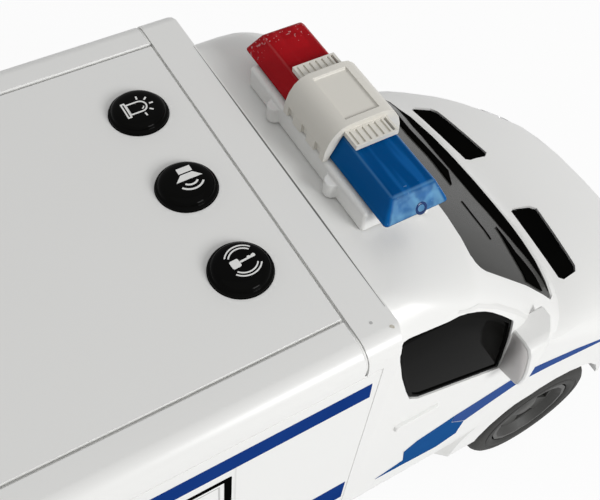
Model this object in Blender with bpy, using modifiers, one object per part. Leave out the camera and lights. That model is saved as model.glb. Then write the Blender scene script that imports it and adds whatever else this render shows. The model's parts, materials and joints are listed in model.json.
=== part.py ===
"""Remote control police van, modelled as separate moulded, electrical and drive pieces.

Metres, +Z up, +X forward. The origin is on the ground, midway along and across the van.
"""
import math

import bmesh
import bpy
import numpy
from mathutils import Matrix, Vector

# Overall sizes and clearances
LENGTH = 0.280
CAB_LENGTH = 0.133             # nose to the seam between hoop and box
BOX_HALF_WIDTH = 0.050
ROOF_Z = 0.127
SILL_Z = 0.020                 # lower edge of the body mouldings
FIT = 0.0003                   # clearance between pieces that touch
SEAM = 0.0005                  # visible seam between cab and box
WALL = 0.0022                  # moulded wall

# Wheels
WHEEL_RADIUS = 0.0212
WHEEL_WIDTH = 0.016
WHEEL_TUCK = 0.0012            # outer face of the wheels inside the box side
RIM_RADIUS = 0.0136
RIM_WALL = 0.0015
FRONT_OVERHANG = 0.0563
WHEELBASE = 0.154
ARCH_RADIUS = 0.0246
STEER_WELL_RADIUS = 0.0280     # wheel well inside the front arch, for the turned wheel
ARCH_LIP = 0.0035
FLARE_RADIUS = 0.034
FLARE_BASE_RADIUS = 0.046
FLARE_DEPTH = 0.011
FLARE_LOW_Z = 0.0275
AXLE_RADIUS = 0.0015

# Box, cargo bay and rear doors
CORNER_RADIUS = 0.0045
LEDGE_WALL = 0.0040            # thicker wall that carries floor and ceiling
REAR_WALL = 0.0045
BUMPER_DEPTH = 0.0055
FLOOR_Z = 0.045
FLOOR_THICKNESS = 0.002
CEILING_DROP = 0.015           # cargo ceiling below the roof
CEILING_THICKNESS = 0.0015
BULKHEAD_THICKNESS = 0.002
DOOR_POST = 0.007              # frame beside the rear doors
DOOR_LINTEL = 0.0025           # frame between door opening and ceiling
WALL_LAP = 0.0034              # side wall lapped over the hoop, ahead of the seam
RIM_DEPTH = 0.007              # skirt of the roof rim over the side walls
DOOR_THICKNESS = 0.003
DOOR_GAP = 0.0005
HINGE_PIN_RADIUS = 0.0009
HINGE_PIN_LENGTH = 0.0015
GRIP_Z = 0.072
GRIP_HEIGHT = 0.0035
GRIP_LENGTH = 0.009
GRIP_FROM_GAP = 0.003
GRIP_PROUD = 0.0015
DOOR_WINDOW_EDGE = 0.0075
DOOR_WINDOW_DEPTH = 0.0006

# Roof panel and buttons
ROOF_BORDER = 0.009            # roof rim beside the roof panel
PANEL_THICKNESS = 0.0035
PANEL_GROOVE = 0.0005
PANEL_FLANGE = 0.0032
FLANGE_THICKNESS = 0.0015
ROOF_RIM = 0.0027
BUTTON_X_BACK = 0.01144        # button row behind the seam
BUTTON_PITCH = 0.0225
BUTTON_RADIUS = 0.0063
BUTTON_HEIGHT = 0.0020
BUTTON_TRAVEL = 0.0012
BUTTON_FLANGE = 0.0013
BOARD_THICKNESS = 0.0016
SWITCH_HEIGHT = 0.0025

# Cab
HOOP_LENGTH = 0.0086
CAB_STEP = 0.0007              # cab side behind the box side
CAB_ROOF_DROP = 0.0041
SILL_TUCK = 0.0068
CREASE_Z = 0.047
CAB_LEAN = 0.0036
SHOULDER_DROP = 0.0104
SHOULDER_RADIUS = 0.0085
NOSE_Z = 0.052                 # front edge of the bonnet
NOSE_SET_BACK = 0.0040
COWL_BACK = 0.0535             # windscreen foot behind the nose
COWL_Z = 0.0765
SCREEN_TOP_BACK = 0.0935       # windscreen head behind the nose
SCREEN_TOP_DROP = 0.0082
ROOF_FLAT_BACK = 0.1130        # front end of the flat cab roof behind the nose
BUMPER_TOP_Z = 0.034
BUMPER_PROUD = 0.0012
BUMPER_BACK = 0.0272
PANE_INSET = 0.0010
PANE_THICKNESS = 0.0015

# Light bar
BAR_BACK_X = 0.0156            # light bar base ahead of the seam
BAR_DEPTH = 0.0180
BAR_HALF_LENGTH = 0.0235
BAR_BASE_HEIGHT = 0.0055       # base above the cab roof
LENS_HEIGHT = 0.0055
LENS_HALF_LENGTH = 0.0286
LENS_SLOPE = 0.0029
LENS_WALL = 0.0013
COVER_HALF_LENGTH = 0.0080
COVER_RISE = 0.0030
TONGUE_LENGTH = 0.0045
TONGUE_RISE = 0.0012

# Chassis
CHASSIS_Z = 0.010
CHASSIS_PLATE = 0.002
CHASSIS_WALL = 0.0025
CHASSIS_INSET = 0.0045         # tray side inside the box side
CAB_TRAY_INSET = 0.0105        # tray side under the cab
WHEEL_GAP = 0.0028             # tray side to the wheel
KINGPIN_INSET = 0.0198         # kingpin inside the wheel's outer face
PIVOT_INSET = 0.005            # tray side inside the kingpin
REAR_WELL = 0.026
FRONT_WELL = 0.031

# Drive
MODULE = 0.00065
WHEEL_TEETH = 20
PINION_TEETH = 10
GEAR_WIDTH = 0.0035
GEAR_SPACE = 0.0014
BACKLASH = 0.00012
GEARBOX_HALF_WIDTH = 0.008
GEARBOX_WALL = 0.0015
MOTOR_RADIUS = 0.010
MOTOR_FLAT = 0.0075
MOTOR_GAP = 0.0025             # motor can to the wheel
SHAFT_RADIUS = 0.0010

# Steering
KINGPIN_RADIUS = 0.0016
STEER_ARM = 0.009
ROD_WIDTH = 0.005
ROD_THICKNESS = 0.0025
ROD_Z = 0.0248
PIN_RADIUS = 0.0011
LINK_THICKNESS = 0.0022
SERVO_ARM = 0.0095
COVER_Z = 0.0312

# Battery and electronics
CELL_RADIUS = 0.0072
CELL_LENGTH = 0.050
SPEAKER_RADIUS = 0.013
SPEAKER_HEIGHT = 0.005
POST_RADIUS = 0.0022
RECEIVER_Z = 0.024

# Places that follow from the sizes
NOSE_X = LENGTH / 2
TAIL_X = -LENGTH / 2
SEAM_X = NOSE_X - CAB_LENGTH
BOX_REAR_X = TAIL_X + BUMPER_DEPTH
BOX_FRONT_X = SEAM_X - SEAM / 2
HOOP_REAR_X = SEAM_X + SEAM / 2
HOOP_FRONT_X = SEAM_X + HOOP_LENGTH
FRONT_AXLE_X = NOSE_X - FRONT_OVERHANG
REAR_AXLE_X = FRONT_AXLE_X - WHEELBASE
AXLE_Z = WHEEL_RADIUS
WHEEL_OUTER_Y = BOX_HALF_WIDTH - WHEEL_TUCK
WHEEL_INNER_Y = WHEEL_OUTER_Y - WHEEL_WIDTH
WHEEL_Y = WHEEL_OUTER_Y - WHEEL_WIDTH / 2
KINGPIN_Y = WHEEL_OUTER_Y - KINGPIN_INSET
REAR_WAIST = WHEEL_INNER_Y - WHEEL_GAP
FRONT_WAIST = KINGPIN_Y - PIVOT_INSET
MOTOR_LENGTH = WHEEL_INNER_Y - MOTOR_GAP - GEARBOX_HALF_WIDTH - FIT
CHASSIS_HALF_WIDTH = BOX_HALF_WIDTH - CHASSIS_INSET
CAB_TRAY_HALF_WIDTH = BOX_HALF_WIDTH - CAB_TRAY_INSET
CAB_HALF_WIDTH = BOX_HALF_WIDTH - CAB_STEP
CAB_ROOF_Z = ROOF_Z - CAB_ROOF_DROP
SHOULDER_Z = CAB_ROOF_Z - SHOULDER_DROP
SCREEN_TOP_Z = CAB_ROOF_Z - SCREEN_TOP_DROP
BAR_BASE_TOP_Z = CAB_ROOF_Z + BAR_BASE_HEIGHT
PANEL_HALF_WIDTH = BOX_HALF_WIDTH - ROOF_BORDER
DOOR_HALF_OPENING = BOX_HALF_WIDTH - DOOR_POST
CEILING_Z = ROOF_Z - CEILING_DROP
DOOR_TOP_Z = CEILING_Z - DOOR_LINTEL
RIM_LOW_Z = ROOF_Z - RIM_DEPTH
WALL_TOP_Z = RIM_LOW_Z - FIT
WALL_FRONT_X = SEAM_X + WALL_LAP
COWL_X = NOSE_X - COWL_BACK
PLATE_Z = CHASSIS_Z + CHASSIS_PLATE
BAY_HALF_WIDTH = BOX_HALF_WIDTH - WALL
LEDGE_HALF_WIDTH = BOX_HALF_WIDTH - LEDGE_WALL
BAY_REAR_X = BOX_REAR_X + REAR_WALL
FLOOR_SEAT_Z = FLOOR_Z - FIT
RIM_UNDER_Z = ROOF_Z - ROOF_RIM
PANEL_REAR_X = BOX_REAR_X + 0.010
BUTTON_X = SEAM_X - BUTTON_X_BACK
FLANGE_UNDER_Z = RIM_UNDER_Z - FIT - FLANGE_THICKNESS
LEFT, RIGHT = 1, -1

for old in list(bpy.data.objects):
    bpy.data.objects.remove(old)
parts = bpy.data.collections.new("remote_control_police_van")
cutters = bpy.data.collections.new("cutters")
bpy.context.scene.collection.children.link(parts)
bpy.context.scene.collection.children.link(cutters)

ALONG_X = Matrix(((0, 0, 1, 0), (1, 0, 0, 0), (0, 1, 0, 0), (0, 0, 0, 1)))
ALONG_Y = Matrix(((1, 0, 0, 0), (0, 0, -1, 0), (0, 1, 0, 0), (0, 0, 0, 1)))
ALONG_Z = Matrix.Identity(4)
ACROSS = Matrix(((0, 1, 0, 0), (-1, 0, 0, 0), (0, 0, 1, 0), (0, 0, 0, 1)))


def paint(name, colour, roughness=0.35, metallic=0.0):
    material = bpy.data.materials.new(name)
    material.use_nodes = True
    shader = material.node_tree.nodes["Principled BSDF"]
    shader.inputs["Base Color"].default_value = (*colour, 1.0)
    shader.inputs["Roughness"].default_value = roughness
    shader.inputs["Metallic"].default_value = metallic
    return material


WHITE = paint("white_abs", (0.80, 0.80, 0.78))
BLACK_GLOSS = paint("black_gloss", (0.012, 0.012, 0.012), 0.12)
TINT = paint("tinted_screen", (0.05, 0.05, 0.05), 0.10)
DARK = paint("dark_grey_abs", (0.06, 0.06, 0.06), 0.5)
RUBBER = paint("tyre_rubber", (0.035, 0.035, 0.033), 0.75)
RED = paint("red_lens", (0.45, 0.01, 0.02), 0.15)
BLUE = paint("blue_lens", (0.0, 0.06, 0.35), 0.15)
CLEAR = paint("lamp_lens", (0.75, 0.78, 0.80), 0.10)
STEEL = paint("steel", (0.55, 0.55, 0.56), 0.3, 1.0)
NYLON = paint("nylon", (0.72, 0.70, 0.62), 0.45)
BOARD = paint("circuit_board", (0.02, 0.16, 0.06), 0.4)
CELL = paint("battery_wrap", (0.05, 0.10, 0.30), 0.35)


def cleaned(mesh):
    work = bmesh.new()
    work.from_mesh(mesh)
    bmesh.ops.remove_doubles(work, verts=work.verts, dist=1e-7)
    bmesh.ops.recalc_face_normals(work, faces=work.faces)
    work.to_mesh(mesh)
    work.free()
    return mesh


def plate(loops, low, high, frame=ALONG_Z):
    """Flat outline with holes, extruded from low to high along the frame's third axis."""
    curve = bpy.data.curves.new("outline", "CURVE")
    curve.dimensions = "2D"
    curve.fill_mode = "BOTH"
    curve.extrude = abs(high - low) / 2
    for loop in loops:
        spline = curve.splines.new("POLY")
        spline.points.add(len(loop) - 1)
        for point, (a, b) in zip(spline.points, loop):
            point.co = (a, b, 0, 1)
        spline.use_cyclic_u = True
    guide = bpy.data.objects.new("outline", curve)
    bpy.context.scene.collection.objects.link(guide)
    graph = bpy.context.evaluated_depsgraph_get()
    mesh = bpy.data.meshes.new_from_object(guide.evaluated_get(graph))
    bpy.data.objects.remove(guide)
    mesh.materials.clear()
    mesh.transform(frame @ Matrix.Translation((0, 0, (low + high) / 2)))
    return cleaned(mesh)


def block(low, high):
    work = bmesh.new()
    bmesh.ops.create_cube(work, size=1.0)
    mesh = bpy.data.meshes.new("block")
    work.to_mesh(mesh)
    work.free()
    low, high = Vector(low), Vector(high)
    size = high - low
    mesh.transform(Matrix.Translation((low + high) / 2) @ Matrix.Diagonal((*size, 1)))
    return mesh


def rod(start, end, radius, segments=20, tip_radius=None):
    start, end = Vector(start), Vector(end)
    tip = radius if tip_radius is None else tip_radius
    work = bmesh.new()
    bmesh.ops.create_cone(work, cap_ends=True, segments=segments, radius1=radius, radius2=tip,
                          depth=(end - start).length)
    mesh = bpy.data.meshes.new("rod")
    work.to_mesh(mesh)
    work.free()
    turn = (end - start).to_track_quat("Z", "Y").to_matrix().to_4x4()
    mesh.transform(Matrix.Translation((start + end) / 2) @ turn)
    return mesh


def many(meshes):
    """Several separate bodies in one mesh, for a cutter that repeats."""
    work = bmesh.new()
    for mesh in meshes:
        work.from_mesh(mesh)
    joined = bpy.data.meshes.new("many")
    work.to_mesh(joined)
    work.free()
    return joined


def add(name, mesh, material, origin=(0, 0, 0)):
    mesh.transform(Matrix.Translation(-Vector(origin)))
    mesh.name = name
    mesh.materials.append(material)
    piece = bpy.data.objects.new(name, mesh)
    piece.location = origin
    parts.objects.link(piece)
    return piece


def tool(mesh):
    cutter = bpy.data.objects.new("cutter", mesh)
    cutter.hide_render = True
    cutter.display_type = "WIRE"
    cutters.objects.link(cutter)
    return cutter


def combine(piece, mesh, operation):
    other = mesh if isinstance(mesh, bpy.types.Object) else tool(mesh)
    step = piece.modifiers.new(operation.lower(), "BOOLEAN")
    step.operation = operation
    step.solver = "EXACT"
    step.object = other
    return piece


def cut(piece, *meshes):
    for mesh in meshes:
        combine(piece, mesh, "DIFFERENCE")
    return piece


def join(piece, *meshes):
    for mesh in meshes:
        combine(piece, mesh, "UNION")
    return piece


def soften(piece, width, segments=2):
    step = piece.modifiers.new("bevel", "BEVEL")
    step.width = width
    step.segments = segments
    step.limit_method = "ANGLE"
    step.angle_limit = math.radians(40)
    return piece


def turned(name, profile, material, origin, side, steps, closed=False):
    """Profile of (radius, height) turned about an axis that points to the given side."""
    mesh = bpy.data.meshes.new(name)
    count = len(profile)
    edges = [(i, i + 1) for i in range(count - 1)]
    if closed:
        edges.append((count - 1, 0))
    mesh.from_pydata([(r, 0, h) for r, h in profile], edges, [])
    mesh.materials.append(material)
    piece = bpy.data.objects.new(name, mesh)
    piece.location = origin
    piece.rotation_euler = (-side * math.pi / 2, 0, 0)
    parts.objects.link(piece)
    step = piece.modifiers.new("turn", "SCREW")
    step.axis = "Z"
    step.steps = steps
    step.render_steps = steps
    step.use_merge_vertices = True
    step.merge_threshold = 1e-6
    step.use_normal_calculate = False
    return piece


def rounded(half_a, low_b, high_b, radius, steps=4, round_low=True):
    """Rectangle outline, symmetric in its first coordinate, with rounded corners."""
    loop = []
    corners = [(half_a, high_b, 0), (-half_a, high_b, 90), (-half_a, low_b, 180), (half_a, low_b, 270)]
    for a, b, start in corners:
        if start >= 180 and not round_low:
            loop.append((a, b))
            continue
        centre_a = a - math.copysign(radius, a)
        centre_b = b - radius if b == high_b else b + radius
        for i in range(steps + 1):
            angle = math.radians(start + 90 * i / steps)
            loop.append((centre_a + radius * math.cos(angle), centre_b + radius * math.sin(angle)))
    return loop


def ring(centre, radius, steps=20):
    return [(centre[0] + radius * math.cos(2 * math.pi * i / steps),
             centre[1] + radius * math.sin(2 * math.pi * i / steps)) for i in range(steps)]


# Cab skin: level sections from sill to roof, each with straight sides and a rounded front
def nose_profile(level):
    """Front of the centre line at a height: nose, bonnet, windscreen and roof in turn."""
    face_x = NOSE_X - BUMPER_PROUD
    cowl_x = NOSE_X - COWL_BACK
    screen_x = NOSE_X - SCREEN_TOP_BACK
    bonnet_x = face_x - NOSE_SET_BACK
    if level <= NOSE_Z:
        drop = abs(level - (SILL_Z + NOSE_Z) / 2) / ((NOSE_Z - SILL_Z) / 2)
        return face_x - NOSE_SET_BACK * drop ** 2.5
    if level <= COWL_Z:
        rise = (level - NOSE_Z) / (COWL_Z - NOSE_Z)
        return bonnet_x - (bonnet_x - cowl_x) * (1 - (1 - rise) ** 0.75)
    if level <= SCREEN_TOP_Z:
        rise = (level - COWL_Z) / (SCREEN_TOP_Z - COWL_Z)
        return cowl_x + (screen_x - cowl_x) * rise
    rise = min(1.0, (level - SCREEN_TOP_Z) / (CAB_ROOF_Z - SCREEN_TOP_Z))
    return screen_x - (screen_x - (NOSE_X - ROOF_FLAT_BACK)) * (1 - (1 - rise) ** 0.6)


def half_width(level):
    if level <= CREASE_Z:
        return CAB_HALF_WIDTH - SILL_TUCK * ((CREASE_Z - level) / (CREASE_Z - SILL_Z)) ** 2
    lean = CAB_LEAN * ((level - CREASE_Z) / (CAB_ROOF_Z - CREASE_Z)) ** 1.5
    width = CAB_HALF_WIDTH - lean
    if level > SHOULDER_Z:
        rise = min(1.0, (level - SHOULDER_Z) / (CAB_ROOF_Z - SHOULDER_Z))
        width -= SHOULDER_RADIUS * (1 - math.sqrt(1 - rise ** 2))
    return width


def cab_levels(fine):
    bonnet = (0.17, 0.35, 0.53, 0.7, 0.84, 0.95) if fine else (0.3, 0.6, 0.87)
    roof = (0.2, 0.4, 0.65, 0.85, 0.95, 1.0) if fine else (0.3, 0.7, 0.9, 1.0)
    screen = (0.25, 0.5, 0.75, 1.0) if fine else (0.5, 1.0)
    low = (0.0, 0.25, 0.5, 0.75, 1.0) if fine else (0.0, 0.4, 1.0)
    levels = [SILL_Z + (NOSE_Z - SILL_Z) * t for t in low]
    levels += [NOSE_Z + (COWL_Z - NOSE_Z) * t for t in bonnet]
    levels.append(COWL_Z)
    levels += [COWL_Z + (SCREEN_TOP_Z - COWL_Z) * t for t in screen]
    levels += [SCREEN_TOP_Z + (CAB_ROOF_Z - SCREEN_TOP_Z) * t for t in roof]
    return levels


def cab_skin(inset, rear_x, skirt=0.0, fine=True):
    """Closed cab form, inset along its normals; skirt lengthens it below the sill."""
    front_steps = 9 if fine else 5
    side_steps = 2 if fine else 1
    marks = (SILL_Z, NOSE_Z, COWL_Z, (COWL_Z + SCREEN_TOP_Z) / 2, SCREEN_TOP_Z, CAB_ROOF_Z)
    corner_run = (0.034, 0.032, 0.022, 0.017, 0.016, 0.010)
    squareness = (2.6, 2.5, 2.6, 3.2, 3.2, 3.0)
    rows = []
    step = 1e-5
    for level in cab_levels(fine):
        low = min(level, CAB_ROOF_Z - 2 * step)
        slope = (nose_profile(low + step) - nose_profile(low)) / step
        spread = (half_width(low + step) - half_width(low)) / step
        lift = -slope / math.hypot(1, slope)
        front = nose_profile(level) - inset / math.hypot(1, slope)
        width = half_width(level) - inset / math.hypot(1, min(0.0, spread))
        run = float(numpy.interp(level, marks, corner_run))
        power = 2 / float(numpy.interp(level, marks, squareness))
        row = []
        for i in range(side_steps):
            row.append((rear_x + (front - run - rear_x) * i / side_steps, width))
        for i in range(front_steps + 1):
            angle = math.pi / 2 * i / front_steps
            row.append((front - run + run * math.sin(angle) ** power, width * abs(math.cos(angle)) ** power))
        row[-1] = (row[-1][0], 0.0)
        row += [(x, -y) for x, y in reversed(row[:-1])]
        rows.append([(x, y, level - inset * max(0.0, lift)) for x, y in row])
    if skirt:
        rows.insert(0, [(x, y, z - skirt) for x, y, z in rows[0]])
    work = bmesh.new()
    loops = [[work.verts.new(point) for point in row] for row in rows]
    count = len(rows[0])
    for lower, upper in zip(loops, loops[1:]):
        for i in range(count):
            j = (i + 1) % count
            work.faces.new((lower[i], lower[j], upper[j], upper[i]))
    work.faces.new(loops[0])
    work.faces.new(loops[-1])
    mesh = bpy.data.meshes.new("cab_skin")
    work.to_mesh(mesh)
    work.free()
    return cleaned(mesh)


def grown(loop, by):
    """Outline moved outward by a distance, corner by corner."""
    area = sum(a[0] * b[1] - b[0] * a[1] for a, b in zip(loop, loop[1:] + loop[:1]))
    turn = 1 if area > 0 else -1
    moved = []
    for before, point, after in zip(loop[-1:] + loop[:-1], loop, loop[1:] + loop[:1]):
        first = Vector((point[0] - before[0], point[1] - before[1])).normalized()
        second = Vector((after[0] - point[0], after[1] - point[1])).normalized()
        normal = Vector((first.y, -first.x)) * turn + Vector((second.y, -second.x)) * turn
        normal.normalize()
        share = max(0.5, normal.dot(Vector((first.y, -first.x)) * turn))
        moved.append((point[0] + normal.x * by / share, point[1] + normal.y * by / share))
    return moved


# Cab shell: skin, wheel-arch flares and the hoop, whose sides are rebated for the side walls
OVER = 0.01                    # how far a cutter runs past what it cuts
WIDE = BOX_HALF_WIDTH + OVER
HOOP_OPENING_INSET = 0.0055
HOOP_CHAMFER = 0.0013          # the hoop's front edge falls back on the sides
HOOP_CHAMFER_WIDTH = 0.004
CAB_REAR_X = HOOP_FRONT_X - 0.003
cab = add("cab_shell", cab_skin(0.0, CAB_REAR_X), WHITE)
flare_y = CAB_HALF_WIDTH - 0.0004
for side in (LEFT, RIGHT):
    flare = rod((FRONT_AXLE_X, side * (flare_y - FLARE_DEPTH), AXLE_Z),
                (FRONT_AXLE_X, side * flare_y, AXLE_Z),
                FLARE_BASE_RADIUS, 22, FLARE_RADIUS)
    flare = tool(flare)
    combine(flare, block((FRONT_AXLE_X - FLARE_BASE_RADIUS - OVER, -WIDE, FLARE_LOW_Z),
                         (FRONT_AXLE_X + ARCH_RADIUS, WIDE, CREASE_Z)), "INTERSECT")
    join(cab, flare)
cut(cab, cab_skin(WALL, CAB_REAR_X - OVER, 2 * OVER, False))
well_y = flare_y - ARCH_LIP
cut(cab, rod((FRONT_AXLE_X, -well_y, AXLE_Z), (FRONT_AXLE_X, well_y, AXLE_Z), STEER_WELL_RADIUS, 26))
cut(cab, rod((FRONT_AXLE_X, -WIDE, AXLE_Z), (FRONT_AXLE_X, WIDE, AXLE_Z), ARCH_RADIUS, 26))
hoop_outline = rounded(BOX_HALF_WIDTH, SILL_Z, ROOF_Z, CORNER_RADIUS, 4, False)
hoop = tool(plate([hoop_outline], HOOP_REAR_X, HOOP_FRONT_X, ALONG_X))
opening_half = BOX_HALF_WIDTH - HOOP_OPENING_INSET
rebate_y = BOX_HALF_WIDTH - WALL - FIT
cut(hoop, block((HOOP_REAR_X - OVER, -opening_half, SILL_Z - OVER),
                (HOOP_FRONT_X + OVER, opening_half, CAB_ROOF_Z - HOOP_OPENING_INSET)))
for low, high in ((rebate_y, WIDE), (-WIDE, -rebate_y)):
    cut(hoop, block((HOOP_REAR_X - OVER, low, SILL_Z - OVER), (WALL_FRONT_X + SEAM, high, RIM_LOW_Z)))
for side in (LEFT, RIGHT):
    wedge = [(HOOP_FRONT_X - 2 * HOOP_CHAMFER, side * (BOX_HALF_WIDTH + HOOP_CHAMFER_WIDTH)),
             (HOOP_FRONT_X + OVER, side * (BOX_HALF_WIDTH + HOOP_CHAMFER_WIDTH)),
             (HOOP_FRONT_X + OVER, side * (BOX_HALF_WIDTH - 2 * HOOP_CHAMFER_WIDTH)),
             (HOOP_FRONT_X + HOOP_CHAMFER, side * (BOX_HALF_WIDTH - 2 * HOOP_CHAMFER_WIDTH))]
    cut(hoop, plate([wedge], SILL_Z - OVER, ROOF_Z + OVER))
join(cab, hoop)

# Door handle ridges on the cab sides
HANDLE_X = HOOP_FRONT_X + 0.0070
HANDLE_LENGTH = 0.0125
HANDLE_HEIGHT = 0.0024
HANDLE_Z = COWL_Z
HANDLE_PROUD = 0.0007
handle_outline = [(HANDLE_X, HANDLE_Z - HANDLE_HEIGHT / 2),
                  (HANDLE_X + HANDLE_LENGTH, HANDLE_Z - HANDLE_HEIGHT / 2),
                  (HANDLE_X + HANDLE_LENGTH, HANDLE_Z + HANDLE_HEIGHT / 2),
                  (HANDLE_X, HANDLE_Z + HANDLE_HEIGHT / 2)]
handle_y = half_width(HANDLE_Z)
for low, high in ((handle_y - WALL / 2, handle_y + HANDLE_PROUD),
                  (-handle_y - HANDLE_PROUD, -handle_y + WALL / 2)):
    handle = soften(tool(plate([handle_outline], low, high, ALONG_Y)), HANDLE_PROUD * 0.8, 2)
    join(cab, handle)


def cab_insert(name, material, outline, low, high, frame, inset, thickness):
    """Piece let into the cab skin: cuts its opening and follows the skin inside it."""
    cut(cab, plate([grown(outline, FIT)], low, high, frame))
    piece = add(name, cab_skin(inset, CAB_REAR_X), material)
    combine(piece, plate([outline], low, high, frame), "INTERSECT")
    cut(piece, cab_skin(inset + thickness, CAB_REAR_X - OVER, 2 * OVER, False))
    return piece


# Windscreen and side windows
PILLAR = 0.0093                # body side beside the windscreen
SCREEN_REACH = 0.012           # how far the windscreen's cutter runs past head and cowl
pane_half = CAB_HALF_WIDTH - PILLAR
screen_outline = [(pane_half - 0.0015, COWL_Z + 0.0035), (pane_half, COWL_Z + 0.0055),
                  (pane_half - 0.0025, SCREEN_TOP_Z - 0.004), (pane_half - 0.0030, SCREEN_TOP_Z - 0.0026),
                  (pane_half - 0.0040, SCREEN_TOP_Z - 0.0014), (pane_half - 0.0055, SCREEN_TOP_Z - 0.0006)]
screen_outline += [(-a, b) for a, b in reversed(screen_outline)]
cab_insert("windscreen", TINT, screen_outline, NOSE_X - SCREEN_TOP_BACK - SCREEN_REACH, COWL_X + SCREEN_REACH,
           ALONG_X, FIT, PANE_THICKNESS)

# Each window's rear edge stands ahead of the seam, its front and top edges behind the windscreen's plane
WINDOW_REAR = ((0.0136, 0.0111), (0.0124, 0.01135), (0.01185, 0.0124), (0.0119, 0.0140), (0.0124, 0.0177),
               (0.0140, 0.0253), (0.0163, 0.0330), (0.0180, 0.0378), (0.0206, 0.0400))
WINDOW_FRONT = ((0.0312, 0.0480), (0.0268, 0.0438), (0.0112, 0.0277), (0.0105, 0.0232), (0.01025, 0.0194),
                (0.0104, 0.0170), (0.0110, 0.0146), (0.0121, 0.0130), (0.0135, 0.0123))
WINDOW_RIM = 0.0008            # flush border round the recessed pane
WINDOW_RECESS = 0.0016
WINDOW_REACH = 0.018           # depth of the window's cutter from the cab side
window_outline = [(SEAM_X + ahead, ROOF_Z - drop) for ahead, drop in WINDOW_REAR]
window_outline += [(nose_profile(ROOF_Z - drop) - back, ROOF_Z - drop) for back, drop in WINDOW_FRONT]
window_inner = CAB_HALF_WIDTH - WINDOW_REACH
for word, low, high in (("left", -WIDE, -window_inner), ("right", window_inner, WIDE)):
    window = cab_insert("side_window_" + word, BLACK_GLOSS, window_outline, low, high, ALONG_Y, FIT,
                        WINDOW_RECESS - FIT + PANE_INSET)
    recess = tool(plate([grown(window_outline, -WINDOW_RIM)], low, high, ALONG_Y))
    cut(recess, cab_skin(WINDOW_RECESS, CAB_REAR_X))
    cut(window, recess)

# Bonnet vents, headlamps and grille
VENT_X = COWL_X + 0.0022
vent_outline = [(VENT_X - 0.0006, 0.0108), (VENT_X + 0.0006, 0.0102), (VENT_X + 0.0068, 0.0106),
                (VENT_X + 0.0084, 0.0118), (VENT_X + 0.0052, 0.0318), (VENT_X + 0.0038, 0.0334),
                (VENT_X - 0.0020, 0.0346), (VENT_X - 0.0030, 0.0338)]
for side, word in ((LEFT, "left"), (RIGHT, "right")):
    outline = [(a, side * b) for a, b in vent_outline]
    cab_insert("bonnet_vent_" + word, BLACK_GLOSS, outline, COWL_Z - 0.012, COWL_Z + 0.004, ALONG_Z,
               0.0005, PANE_THICKNESS)
LAMP_WIDTH = 0.0202
LAMP_SIDE = 0.0041             # body side beside the headlamp
lamp_outer = CAB_HALF_WIDTH - LAMP_SIDE
lamp_inner = lamp_outer - LAMP_WIDTH
lamp_outline = [(lamp_inner, NOSE_Z - 0.0100), (lamp_outer - 0.0032, NOSE_Z - 0.0080),
                (lamp_outer, NOSE_Z + 0.0040),
                (lamp_outer - 0.0052, NOSE_Z + 0.0085), (lamp_inner + 0.0050, NOSE_Z + 0.0010),
                (lamp_inner, NOSE_Z - 0.0015)]
for side, word in ((LEFT, "left"), (RIGHT, "right")):
    outline = [(side * a, b) for a, b in lamp_outline]
    cab_insert("headlamp_" + word, CLEAR, outline, NOSE_X - 0.040, NOSE_X + 0.002, ALONG_X, FIT,
               PANE_THICKNESS)
GRILLE_HALF_WIDTH = lamp_inner - 0.004
GRILLE_LOW_Z = BUMPER_TOP_Z + 0.0025
GRILLE_HIGH_Z = NOSE_Z - 0.002
grille = cab_insert("grille", DARK, rounded(GRILLE_HALF_WIDTH, GRILLE_LOW_Z, GRILLE_HIGH_Z, 0.002, 2),
                    NOSE_X - 0.016, NOSE_X + 0.002, ALONG_X, 0.0008, PANE_THICKNESS)
GRILLE_SLOTS = 3
slot_pitch = (GRILLE_HIGH_Z - GRILLE_LOW_Z) / GRILLE_SLOTS
slot_half_width = GRILLE_HALF_WIDTH - 0.002
cut(grille, many([block((NOSE_X - 3 * OVER, -slot_half_width, GRILLE_LOW_Z + slot_pitch * (i + 0.25)),
                        (NOSE_X + OVER, slot_half_width, GRILLE_LOW_Z + slot_pitch * (i + 0.75)))
                  for i in range(GRILLE_SLOTS)]))

# Front bumper takes the place of the skin below its top edge
bumper_x = NOSE_X - BUMPER_BACK
bumper = add("front_bumper", cab_skin(-BUMPER_PROUD, CAB_REAR_X), DARK)
combine(bumper, block((bumper_x, -WIDE, SILL_Z - OVER), (NOSE_X + OVER, WIDE, BUMPER_TOP_Z)), "INTERSECT")
cut(bumper, cab_skin(WALL, CAB_REAR_X - OVER, 2 * OVER, False))
INTAKE_HALF_WIDTH = 0.018
INTAKE_HEIGHT = 0.0035
intake_z = (SILL_Z + BUMPER_TOP_Z) / 2
cut(bumper, block((NOSE_X - OVER, -INTAKE_HALF_WIDTH, intake_z - INTAKE_HEIGHT / 2),
                  (NOSE_X + OVER, INTAKE_HALF_WIDTH, intake_z + INTAKE_HEIGHT / 2)))
cut(cab, block((bumper_x - FIT, -WIDE, SILL_Z - OVER), (NOSE_X + OVER, WIDE, BUMPER_TOP_Z + FIT)))

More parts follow.
